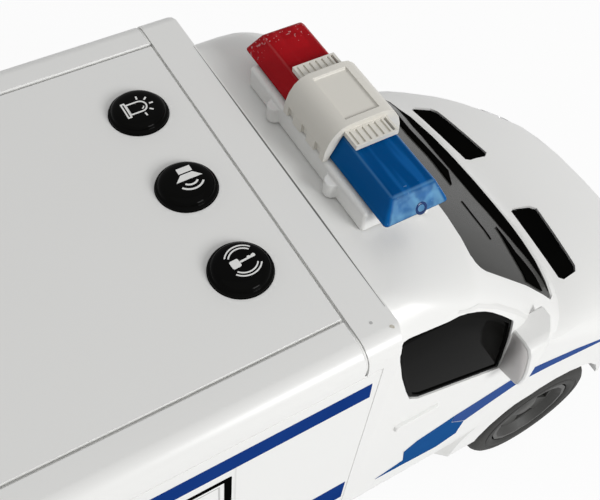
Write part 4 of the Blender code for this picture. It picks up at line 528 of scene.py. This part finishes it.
for node in buttonNodes:
    turnButton(node, buttonLook)
print("buttons turned:", len(buttonCaps))


# flat shapes cut from filled outlines, drawn in millimetres
def arcPoints(centre, radius, start, end, steps):
    angles = [math.radians(start + (end - start) * i / steps) for i in range(steps + 1)]
    return [(centre[0] + radius * math.cos(a), centre[1] + radius * math.sin(a)) for a in angles]


def arcBand(centre, radius, width, start, end, steps=20):
    outer = arcPoints(centre, radius + width / 2, start, end, steps)
    return outer + arcPoints(centre, radius - width / 2, end, start, steps)


def barLoop(start, end, width):
    along = (end - start).normalized()
    across = Vector((-along.y, along.x)) * width / 2
    return [tuple(point) for point in (start + across, start - across, end - across, end + across)]


def plainBox(low, high):
    return [low, (high[0], low[1]), high, (low[0], high[1])]


def roundBox(low, high, radius, steps=5):
    corners = ((high[0] - radius, high[1] - radius, 0), (low[0] + radius, high[1] - radius, 90),
               (low[0] + radius, low[1] + radius, 180), (high[0] - radius, low[1] + radius, 270))
    return [point for a, b, turn in corners for point in arcPoints((a, b), radius, turn, turn + 90, steps)]


def flatMark(name, loops, thick):
    outline = bpy.data.curves.new(name, "CURVE")
    outline.dimensions = "2D"
    outline.fill_mode = "BOTH"
    outline.extrude = thick / 2
    for loop in loops:
        spline = outline.splines.new("POLY")
        spline.points.add(len(loop) - 1)
        spline.use_cyclic_u = True
        for point, (a, b) in zip(spline.points, loop):
            point.co = (a / 1000, b / 1000, 0, 1)
    pick(linked(name, outline))
    bpy.ops.object.convert(target="MESH")
    return bpy.context.object


# prints, drawn as seen from a side, the front or above; the "from" lengths are where one starts on its way to a piece
sideOn = {"right": Matrix(((1, 0, 0, 0), (0, 0, -1, 0), (0, 1, 0, 0), (0, 0, 0, 1))),
          "left": Matrix(((1, 0, 0, 0), (0, 0, 1, 0), (0, 1, 0, 0), (0, 0, 0, 1)))}
frontOn = Matrix(((0, 0, 1, 0), (1, 0, 0, 0), (0, 1, 0, 0), (0, 0, 0, 1)))
printLook = {"flat": 0.00006, "flatLift": 0.3, "wrapped": 0.00008, "wrapLift": 0.6, "fromSide": 0.07,
             "fromFront": 0.15, "fromAbove": 0.15}
frontPlace = Matrix.Translation((printLook["fromFront"], 0, 0)) @ frontOn
roofPlace = Matrix.Translation((0, 0, printLook["fromAbove"]))


def printFlat(name, loops, side, reach, finish, thick=printLook["flat"]):
    piece = flatMark(name + "_" + side, loops, thick)
    lifted = reach + thick * printLook["flatLift"]
    piece.data.transform(Matrix.Translation((0, sideSign[side] * lifted, 0)) @ sideOn[side])
    shapeAll(piece, mergeSeams, faceOut)
    dress(piece, finish, "van")


# a print laid on a curved piece: projected along one axis, then given its thickness
def printOver(name, loops, place, axis, target, finish, body="van", cuts=7, thick=printLook["wrapped"]):
    piece = flatMark(name, loops, 0.0)
    piece.data.transform(place)
    shapeAll(piece, mergeSeams, lambda: bpy.ops.mesh.subdivide(number_cuts=cuts))
    addModifier(piece, "SHRINKWRAP", target=target, wrap_method="PROJECT", wrap_mode="ABOVE_SURFACE",
                offset=thick * printLook["wrapLift"], use_project_x=axis == "x", use_project_y=axis == "y",
                use_project_z=axis == "z", use_negative_direction=True, use_positive_direction=True)
    addModifier(piece, "SOLIDIFY", thickness=thick, offset=0.0)
    shapeAll(piece, mergeSeams, faceOut)
    dress(piece, finish, body)


# pictograms of the buttons, drawn with their top towards the nose
iconLook = {"line": 0.24, "thick": 0.00008, "above": 0.01, "cuts": 2,
            "scale": {"button_light": 1.42, "button_sound": 1.64, "button_key": 1.16},
            "shift": {"button_light": (-0.00036, -0.00005), "button_sound": (0.0008, -0.0003),
                      "button_key": (0.0008, 0.0006)}}
beaconLook = {"half": 1.55, "low": -2.0, "high": -1.3, "corner": 0.1, "slotCorner": 0.04, "dome": 1.15,
              "domeFoot": -1.27, "footLine": 0.4, "domeSteps": 18, "centre": (0, 0.5), "gleam": 0.58,
              "gleamLine": 0.7, "gleamTurn": (15, 75), "rays": (8, 49, 90, 131, 172), "rayEnds": (1.5, 2.1)}
speakerLook = {"magnet": ((-2.3, -0.9), (-1.45, 0.9)), "waves": ((1.1, 48), (1.8, 52)), "centre": (-0.5, 0),
               "horn": [(-1.22, -0.8), (-0.3, -1.7), (-0.3, 1.7), (-1.22, 0.8)]}
keyLook = {"bow": ((-2.25, -0.8), (-0.65, 0.8), 0.3), "turn": 94, "waves": (2.4, 3.0), "waveStarts": (130, 310),
           "waveSpan": 108,
           "blade": [(-0.6, -0.2), (2.2, -0.2), (2.3, 0.1), (2.1, 0.4), (1.7, 0.36), (1.5, 0.16), (1.2, 0.4),
                     (0.9, 0.36), (0.8, 0.14), (-0.6, 0.14)]}


def beaconLoops(look, line):
    half, low, high = look["half"], look["low"], look["high"]
    dome, foot, centre = look["dome"], look["domeFoot"], look["centre"]
    sill = foot + line * look["footLine"]
    base = roundBox((-half, low), (half, high), look["corner"])
    slot = roundBox((-half + line, low + line), (half - line, high - line), look["slotCorner"])
    shell = [(-dome, foot), (dome, foot)] + arcPoints(centre, dome, 0, 180, look["domeSteps"])
    window = [(-dome + line, sill), (dome - line, sill)]
    window += arcPoints(centre, dome - line, 0, 180, look["domeSteps"])
    gleam = arcBand(centre, look["gleam"], line * look["gleamLine"], *look["gleamTurn"])
    rays = []
    for angle in look["rays"]:
        way = Vector((math.cos(math.radians(angle)), math.sin(math.radians(angle))))
        rays.append(barLoop(*[way * end + Vector(centre) for end in look["rayEnds"]], line))
    return [base, slot, shell, window, gleam] + rays


def speakerLoops(look, line):
    waves = [arcBand(look["centre"], radius, line, -half, half) for radius, half in look["waves"]]
    return [plainBox(*look["magnet"]), look["horn"]] + waves


def keyLoops(look, line):
    turn = Matrix.Rotation(math.radians(look["turn"]), 2)
    key = [[tuple(turn @ Vector(point)) for point in loop] for loop in (roundBox(*look["bow"]), look["blade"])]
    waves = [arcBand((0, 0), radius, line, start, start + look["waveSpan"])
             for radius in look["waves"] for start in look["waveStarts"]]
    return key + waves


def stampIcon(node, loops, look):
    low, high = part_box(node)
    scale = look["scale"][node]
    along, across = look["shift"][node]
    noseUp = Matrix(((0, scale, 0, 0), (-scale, 0, 0, 0), (0, 0, 1, 0), (0, 0, 0, 1)))
    middle = ((low.x + high.x) / 2 + along, (low.y + high.y) / 2 + across, high.z + look["above"])
    printOver(node + "_icon", loops, Matrix.Translation(middle) @ noseUp, "z", buttonCaps[node], "iconWhite",
              bodyOf[node], look["cuts"], look["thick"])


stampIcon("button_light", beaconLoops(beaconLook, iconLook["line"]), iconLook)
stampIcon("button_sound", speakerLoops(speakerLook, iconLook["line"]), iconLook)
stampIcon("button_key", keyLoops(keyLook, iconLook["line"]), iconLook)
print("icons stamped: 3")


# box sides: two stripes, a window outline with a thin inner line, and a panel line; a stripe is its lower and upper
# edge and their front ends
boxPrints = {"rear": -128.0, "upper": (109.4, 115.5, 9.4, 9.1), "lower": (52.8, 63.2, 10.1, 10.0),
             "frame": (-96.0, 72.0, -20.8, 106.3), "frameLine": 1.6, "frameCorners": (0.5, 0.3), "innerGap": 0.9,
             "innerLine": 0.35, "innerCorners": (0.3, 0.2), "panelLine": (-20.1, -19.8, 109.2), "panelGap": 0.4}


def bandLoop(band, rear):
    low, high, lowFront, highFront = band
    return [(rear, low), (lowFront, low), (highFront, high), (rear, high)]


def frameLoops(frameBox, margins, corners):
    left, low, right, high = frameBox
    return [roundBox((left + margin, low + margin), (right - margin, high - margin), corner)
            for margin, corner in zip(margins, corners)]


def printBoxSide(side, look):
    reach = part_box("box_shell")[1].y
    for name in ("upper", "lower"):
        printFlat(name + "Stripe", [bandLoop(look[name], look["rear"])], side, reach, "stripeBlue")
    gap = look["frameLine"] + look["innerGap"]
    outer = frameLoops(look["frame"], (0.0, look["frameLine"]), look["frameCorners"])
    inner = frameLoops(look["frame"], (gap, gap + look["innerLine"]), look["innerCorners"])
    printFlat("windowLine", outer, side, reach, "printBlack")
    printFlat("windowInner", inner, side, reach, "printGrey")
    rear, front, top = look["panelLine"]
    foot = look["lower"][1] + look["panelGap"]
    printFlat("panelLine", [plainBox((rear, foot), (front, top))], side, reach, "panelLineAndCreaseShade")


# cab sides: a blade with its tail, a swoosh, and a pale grey band of painted shade along the crease round the window
cabPrints = {
    "blade": {"finish": "bladeBlue",
              "loop": [(28.9, 56.9), (32.4, 59.7), (43.35, 62.6), (43.3, 59.1), (48.25, 54.9), (47.6, 50.9),
                       (47.5, 48.4), (41.5, 46.1), (31.9, 47.0), (29.9, 49.7)]},
    "tail": {"finish": "bladeBlue", "loop": [(21.7, 47.8), (29.75, 50.7), (29.95, 49.6), (31.75, 47.1)]},
    "swoosh": {"finish": "stripeDull",
               "loop": [(43.5, 62.65), (51.2, 64.0), (60.1, 65.7), (66.7, 66.8), (68.5, 65.6), (74.0, 64.4),
                        (85.0, 61.8), (97.0, 58.0), (96.0, 56.8), (85.0, 58.6), (75.6, 60.2), (66.5, 61.0),
                        (63.7, 60.5), (56.2, 58.0), (48.4, 55.15), (43.5, 59.3)]},
    # the crease band is painted shade where the raised door panel steps down round the window
    "crease": {"finish": "panelLineAndCreaseShade",
               "loop": [(33.0, 116.4), (39.0, 113.7), (46.2, 107.8), (53.6, 100.5), (58.8, 94.6), (64.4, 84.9),
                        (63.7, 84.6), (58.2, 94.0), (53.0, 99.9), (45.7, 107.1), (38.7, 113.0), (32.8, 115.8)]},
}


def printCabSide(side, looks):
    place = Matrix.Translation((0, sideSign[side] * printLook["fromSide"], 0)) @ sideOn[side]
    for name, look in looks.items():
        printOver(name + "_" + side, [look["loop"]], place, "y", shown["cab_shell"], look["finish"])


for side in ("right", "left"):
    printBoxSide(side, boxPrints)
    printCabSide(side, cabPrints)
print("livery printed")


# windscreen: dark lower band, two flat wipers and a thin crease
screenPrints = {
    "band": {"thick": 0.00018,
             "loop": [(-37.6, 80.6), (-33.0, 82.9), (-25.0, 86.9), (-19.0, 88.7), (-10.0, 89.7), (0.0, 90.0),
                      (10.0, 89.7), (19.0, 88.7), (25.0, 86.9), (33.0, 82.9), (37.6, 80.6)]},
    "nearWiper": {"thick": 0.00030, "loop": [(-20.4, 91.8), (-29.9, 93.8), (-37.5, 93.5), (-38.6, 85.6),
                                             (-34.1, 87.3), (-28.6, 90.9)]},
    "farWiper": {"thick": 0.00030, "loop": [(-7.8, 98.1), (3.2, 97.3), (11.1, 98.3), (22.0, 97.0), (30.0, 94.0),
                                            (33.5, 90.5), (24.0, 92.5), (15.1, 94.6), (7.6, 93.6), (-0.6, 92.9)]},
    "crease": {"thick": 0.00018, "loop": [(-14.2, 100.2), (-26.5, 99.9), (-26.5, 99.55), (-14.2, 99.8)]},
}
for name, look in screenPrints.items():
    printOver("screen_" + name, [look["loop"]], frontPlace, "x", shown["windscreen"], "printBlack", thick=look["thick"])
print("windscreen dressed")


# fine dark line of painted shade along the front edge of the roof hoop, standing for the gap there, and two small
# scuffs at its near corner
hoopThick = 0.00005
hoopMarks = {
    # painted shade standing for the gap at the hoop's front edge
    "seam": {"finish": "seamShadeGrey", "cuts": 9,
             "loop": [(15.2, -42.0), (15.24, -42.0), (15.4, -18.0), (15.38, 10.0), (15.24, 36.0), (15.2, 36.0),
                      (15.05, 10.0), (15.05, -18.0)]},
    "scuff": {"finish": "scuffBrown", "cuts": 1,
              "loop": [(13.5, -46.0), (13.8, -45.7), (14.2, -45.8), (14.5, -46.2), (14.3, -46.6), (13.9, -46.4)]},
    "nick": {"finish": "printGrey", "cuts": 1, "loop": arcPoints((11.0, -43.7), 0.32, 0, 320, 12)},
}
for name, look in hoopMarks.items():
    printOver("hoop_" + name, [look["loop"]], roofPlace, "z", shown["cab_shell"], look["finish"], cuts=look["cuts"],
              thick=hoopThick)
print("hoop marked")


# tyres: spun carcass with a grooved tread and pressed-in sipes; the wall is measured from the bead and the outer face,
# the shoulder from the tread and the outer face
tyreLook = {"radius": 0.0212, "half": 0.008, "bead": 0.0139, "steps": 72, "groove": 0.0008, "smooth": 35,
            "wall": [(0.0, -0.0006), (0.0007, -0.0001), (0.0016, 0.0), (0.0024, -0.00006), (0.0026, -0.0003),
                     (0.0031, -0.0003), (0.0033, -0.00012)],
            "shoulder": [(-0.0025, -0.0003), (-0.0014, -0.0008), (-0.0006, -0.0016), (-0.00012, -0.0024),
                         (0.0, -0.0031)],
            "grooveTop": (0.0024, 0.0012), "grooveFloor": (0.0022, 0.0014),
            "sipe": 0.0006, "sipeEdge": 0.0003, "sipeEvery": 3, "treadBand": 0.0002, "midBand": 0.0012}


def tyreProfile(look):
    outer, half, bead = look["radius"], look["half"], look["bead"]
    floor = outer - look["groove"]
    profile = [(bead + rise, half + out) for rise, out in look["wall"]]
    profile += [(outer + rise, half + out) for rise, out in look["shoulder"]]
    profile += [(outer, look["grooveTop"][0]), (floor, look["grooveFloor"][0]), (floor, look["grooveFloor"][1]),
                (outer, look["grooveTop"][1])]
    return profile + [(radius, -along) for radius, along in reversed(profile)]


def isSipe(centre, look):
    turn = int((math.atan2(centre.y, centre.x) + math.pi) / (2 * math.pi) * look["steps"])
    onTread = Vector((centre.x, centre.y)).length > look["radius"] - look["treadBand"]
    return onTread and (turn + (0 if abs(centre.z) > look["midBand"] else 1)) % look["sipeEvery"] == 0


def spinTyre(node, look):
    low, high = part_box(node)
    piece = spinProfile(node + "_tread", tyreProfile(look), look["steps"], True)
    choose(piece, "FACE", lambda face: isSipe(face.center, look))
    bpy.ops.mesh.inset(thickness=look["sipeEdge"], depth=-look["sipe"], use_individual=True)
    leaveEdit()
    piece.data.transform(Matrix.Translation((low + high) / 2) @ Matrix.Rotation(math.radians(90), 4, "X"))
    polish(piece, look["smooth"])
    dress(piece, slotOf[node], bodyOf[node])
    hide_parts(node)


for node in ("tyre_front_left", "tyre_front_right", "tyre_rear_left", "tyre_rear_right"):
    spinTyre(node, tyreLook)
print("tyres spun: 4")


# small bosses on the lens ends
bossLook = {"lift": 0.0013, "aside": 0.001, "steps": 24, "finish": {"red": "tailRed", "blue": "bossNavy"},
            "profile": [(0.0, -0.0001), (0.0007, -0.0001), (0.0009, 0.00012), (0.0012, 0.00014), (0.0014, 0.0),
                        (0.0015, -0.0004), (0.0, -0.0004)]}


def addBoss(word, side, look, lens):
    boss = spinProfile("lensBoss_" + word, look["profile"], look["steps"])
    tilt = Vector((0, side, lens["slope"])).to_track_quat("Z", "X").to_matrix().to_4x4()
    reach = lens["reach"] - lens["slope"] * look["lift"]
    spot = (lens["middle"] + look["aside"], side * reach, lens["foot"] + look["lift"])
    boss.data.transform(Matrix.Translation(spot) @ tilt)
    polish(boss)
    dress(boss, look["finish"][word], "van")


for word, side in (("red", 1), ("blue", -1)):
    addBoss(word, side, bossLook, lensShape)
print("lens bosses: 2")


# thin plates grown from chosen faces of a moulded piece
def plateFrom(source, name, wanted, look, finish):
    piece = linked(name, source.data.copy())
    choose(piece, "FACE", lambda face: not wanted(face))
    bpy.ops.mesh.delete(type="FACE")
    bpy.ops.mesh.select_all(action="SELECT")
    bpy.ops.mesh.inset(thickness=look["margin"], depth=0)
    bpy.ops.mesh.select_all(action="INVERT")
    bpy.ops.mesh.delete(type="FACE")
    leaveEdit()
    addModifier(piece, "SOLIDIFY", thickness=look["thick"], offset=look["offset"])
    shapeAll(piece, mergeSeams, faceOut)
    dress(piece, finish, "van")


# pale strips low in the grooves between roof panel, rim, hoop and walls
grooveLook = {"depth": 0.0009, "inside": 0.5, "outside": 0.65, "corner": 0.2, "thick": 0.0002, "lidBand": 0.00002,
              "rimFront": {"margin": 0.00002, "thick": 0.00048, "offset": 0.9, "facing": 0.95, "band": 0.0002},
              "walls": {"wallLine": ((-133.5, 119.55), (10.3, 120.25)), "hoopLine": ((10.25, 20.5), (11.05, 119.55))},
              "wallReach": 0.0498, "wallThick": 0.0001}


def fillRoofGroove(look):
    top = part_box("roof_panel")[1].z
    lid = [corner.co * 1000 for corner in shown["roof_panel"].data.vertices if corner.co.z > top - look["lidBand"]]
    low, high = [[most(corner[axis] for corner in lid) for axis in (0, 1)] for most in (min, max)]
    ring = [roundBox([end - grow for end in low], [end + grow for end in high], look["corner"])
            for grow in (look["outside"], -look["inside"])]
    strip = flatMark("roofGroove", ring, look["thick"])
    strip.data.transform(Matrix.Translation((0, 0, top - look["depth"] - look["thick"] / 2)))
    shapeAll(strip, mergeSeams, faceOut)
    dress(strip, "white_abs", "van")


def fillRimFront(look):
    rim = shown["roof_rim"]
    front = max(corner.co.x for corner in rim.data.vertices) - look["band"]
    plateFrom(rim, "rimFront", lambda face: face.normal.x > look["facing"] and face.center.x > front, look,
              "white_abs")


fillRoofGroove(grooveLook)
fillRimFront(grooveLook["rimFront"])
for side in ("right", "left"):
    for name, ends in grooveLook["walls"].items():
        printFlat(name, [plainBox(*ends)], side, grooveLook["wallReach"], "white_abs", grooveLook["wallThick"])
print("grooves filled: 6")


# door mirrors: a grey plate on the rear face, painted shade that darkens the white plastic there
mirrorLook = {"margin": 0.0003, "thick": 0.00012, "offset": 0.4, "facing": -0.75, "least": 0.00001}
for node in ("mirror_left", "mirror_right"):
    plateFrom(shown[node], node + "_plate", lambda face: face.normal.x < mirrorLook["facing"]
              and face.area > mirrorLook["least"], mirrorLook, "mirrorShadeGrey")
print("mirrors plated: 2")


# headlamps: rings and reflector bowls printed on the lens
lampLook = {"bowls": (((36.5, 50.2), 4.4), ((29.3, 46.8), 2.4)), "line": 0.5, "gap": 0.7, "turn": (0, 350, 35),
            "ringCuts": 1, "bowlCuts": 3, "thick": 0.00006}


def printHeadlamp(side, look):
    target = shown["headlamp_" + side]
    for i, ((across, height), radius) in enumerate(look["bowls"]):
        outer, inner, bowl = [arcPoints((sideSign[side] * across, height), size, *look["turn"])
                              for size in (radius, radius - look["line"], radius - look["gap"])]
        printOver("lampRing%d_%s" % (i, side), [outer, inner], frontPlace, "x", target, "printGrey",
                  cuts=look["ringCuts"], thick=look["thick"])
        printOver("lampBowl%d_%s" % (i, side), [bowl], frontPlace, "x", target, "lampSilver",
                  cuts=look["bowlCuts"], thick=look["thick"])


for side in ("right", "left"):
    printHeadlamp(side, lampLook)
print("headlamps dressed: 2")


# dark plates closing the grille and the bumper slot from behind: their place at the middle and at a level, and their
# lean; both fall back to the sides as the nose does
backLook = {"thick": 0.0003, "cuts": 11, "fall": 0.0045}
backPlates = {
    "grillePlate": {"box": ((-19.7, 37.4), (19.7, 49.4)), "place": 134.95, "level": 40.0, "lean": -0.167},
    "bumperPlate": {"box": ((-19.2, 24.6), (19.2, 29.6)), "place": 134.05, "level": 25.0, "lean": 0.30},
}


def backPlate(name, look, shared):
    piece = flatMark(name, [plainBox(*look["box"])], 0.0)
    piece.data.transform(frontOn)
    shapeAll(piece, mergeSeams, lambda: bpy.ops.mesh.subdivide(number_cuts=shared["cuts"]))
    for corner in piece.data.vertices:
        across, height = corner.co.y * 1000, corner.co.z * 1000
        corner.co.x = (look["place"] - shared["fall"] * across ** 2 + look["lean"] * (height - look["level"])) / 1000
    addModifier(piece, "SOLIDIFY", thickness=shared["thick"], offset=0.0)
    shapeAll(piece, mergeSeams, faceOut)
    dress(piece, "printBlack", "van")


for name, look in backPlates.items():
    backPlate(name, look, backLook)
print("slots backed:", len(backPlates))


# rear door panes, set in their recesses
paneLook = {"inner": 7.8, "outer": 33.2, "low": 79.3, "high": 101.2, "corner": 1.2, "thick": 0.0004, "floor": -0.1336,
            "sink": 0.00002, "edge": 0.00012, "edgeCorner": 50}


def glazeDoor(side, look):
    door = "rear_door_" + side
    near, far = sorted(sideSign[side] * end for end in (look["inner"], look["outer"]))
    loop = roundBox((near, look["low"]), (far, look["high"]), look["corner"])
    pane = flatMark(door + "_pane", [loop], look["thick"])
    pane.data.transform(Matrix.Translation((look["floor"] - look["thick"] / 2 + look["sink"], 0, 0)) @ frontOn)
    shapeAll(pane, mergeSeams, faceOut)
    bevel(pane, look["edge"], look["edgeCorner"])
    dress(pane, "black_gloss", bodyOf[door])


for side in ("right", "left"):
    glazeDoor(side, paneLook)
print("rear doors glazed: 2")


# tail lamps: ribs pressed into the outer face
ribLook = {"levels": (0.0544, 0.0588, 0.0632, 0.0676), "margin": 0.0005, "depth": 0.0003, "facing": -0.95,
           "least": 0.000003, "smooth": 38}


def ribLamp(node, look):
    piece = shown[node]
    for level in look["levels"]:
        shapeAll(piece, lambda: bpy.ops.mesh.bisect(plane_co=(0, 0, level), plane_no=(0, 0, 1)))
    choose(piece, "FACE", lambda face: face.normal.x < look["facing"] and face.area > look["least"])
    bpy.ops.mesh.inset(thickness=look["margin"], depth=-look["depth"], use_individual=True)
    leaveEdit()
    polish(piece, look["smooth"])


for node in ("tail_lamp_left", "tail_lamp_right"):
    ribLamp(node, ribLook)
print("tail lamps ribbed: 2")


# screws under the chassis: low heads, each with a black cross painted on as the shade in its cross recess
screwLook = {"places": ((-0.120, -0.032), (-0.120, 0.032), (0.028, -0.036), (0.028, 0.036), (0.112, -0.012),
                        (0.112, 0.012), (0.0146, 0.0)),
             "floor": 0.010, "proud": 0.0004, "steps": 24, "arm": 0.9, "half": 0.22, "crossThick": 0.00008, "turn": 37,
             "profile": [(0.0, 0.0), (0.0011, 0.00001), (0.0014, 0.00009), (0.00155, 0.00024), (0.0016, 0.0005),
                         (0.0, 0.0005)]}


def setScrew(index, spot, look):
    place = Matrix.Translation((*spot, look["floor"] - look["proud"]))
    head = spinProfile("screw%d" % index, look["profile"], look["steps"])
    head.data.transform(place)
    polish(head)
    dress(head, "steel", "van")
    arm, half = look["arm"], look["half"]
    loop = [(half, half), (arm, half), (arm, -half), (half, -half), (half, -arm), (-half, -arm), (-half, -half),
            (-arm, -half), (-arm, half), (-half, half), (-half, arm), (half, arm)]
    recessShade = flatMark("screwCross%d" % index, [loop], look["crossThick"])
    recessShade.data.transform(place @ Matrix.Rotation(math.radians(look["turn"] * index), 4, "Z"))
    shapeAll(recessShade, mergeSeams, faceOut)
    dress(recessShade, "printBlack", "van")


for index, spot in enumerate(screwLook["places"]):
    setScrew(index, spot, screwLook)
print("screws set:", len(screwLook["places"]))


# floor, world and lamps; "shade" and "sky" set how bright the floor looks and how much light the room gives
studio = {"floor": (0.86, 0.86, 0.86), "floorSize": 6.0, "shade": 0.93, "sky": 0.42, "white": (1, 1, 1, 1),
          "key": {"place": (0.40, -0.93, 0.68), "aim": (0.0, 0.0, 0.08), "size": 0.40, "power": 8.0},
          "fill": {"place": (0.0, -0.15, 1.3), "aim": (0.0, 0.0, 0.08), "size": 1.2, "power": 1.1}}


def seenRays(wire):
    path = wire.tree.nodes.new("ShaderNodeLightPath")
    camera, glossy, through = [Wire(wire.tree, path.outputs[name])
                               for name in ("Is Camera Ray", "Is Glossy Ray", "Is Transmission Ray")]
    return wire.maths("MINIMUM", camera + glossy + through, 1.0)


def layFloor(look):
    bpy.ops.object.select_all(action="DESELECT")
    bpy.ops.mesh.primitive_plane_add(size=look["floorSize"], location=(0, 0, 0))
    floor = bpy.context.object
    floor.name = "floor"
    material = bpy.data.materials.new("paleFloor")
    material.use_nodes = True
    tree = material.node_tree
    tree.nodes.clear()
    wire = Wire(tree)
    plain = wire.node("ShaderNodeBsdfDiffuse", None, {"Color": (*look["floor"], 1)})
    bright = wire.node("ShaderNodeEmission", None, {"Color": look["white"], "Strength": 1.0})
    mixed = wire.node("ShaderNodeMixShader", None, {0: seenRays(wire) * look["shade"], 1: plain, 2: bright})
    end = tree.nodes.new("ShaderNodeOutputMaterial")
    tree.links.new(mixed.socket, end.inputs["Surface"])
    floor.data.materials.append(material)


def lightWorld(look):
    world = bpy.data.worlds.new("softRoom")
    bpy.context.scene.world = world
    world.use_nodes = True
    tree = world.node_tree
    tree.nodes.clear()
    wire = Wire(tree)
    strength = seenRays(wire) * (1 - look["sky"]) + look["sky"]
    shade = wire.node("ShaderNodeBackground", None, {"Color": look["white"], "Strength": strength})
    end = tree.nodes.new("ShaderNodeOutputWorld")
    tree.links.new(shade.socket, end.inputs["Surface"])


def hangLamp(name, look):
    data = bpy.data.lights.new(name, "AREA")
    data.energy = look["power"]
    data.size = look["size"]
    linked(name, data).matrix_world = aimed(look)


layFloor(studio)
lightWorld(studio)
hangLamp("keyLamp", studio["key"])
hangLamp("fillLamp", studio["fill"])
bpy.context.scene.view_settings.view_transform = "Standard"
print("studio lit")
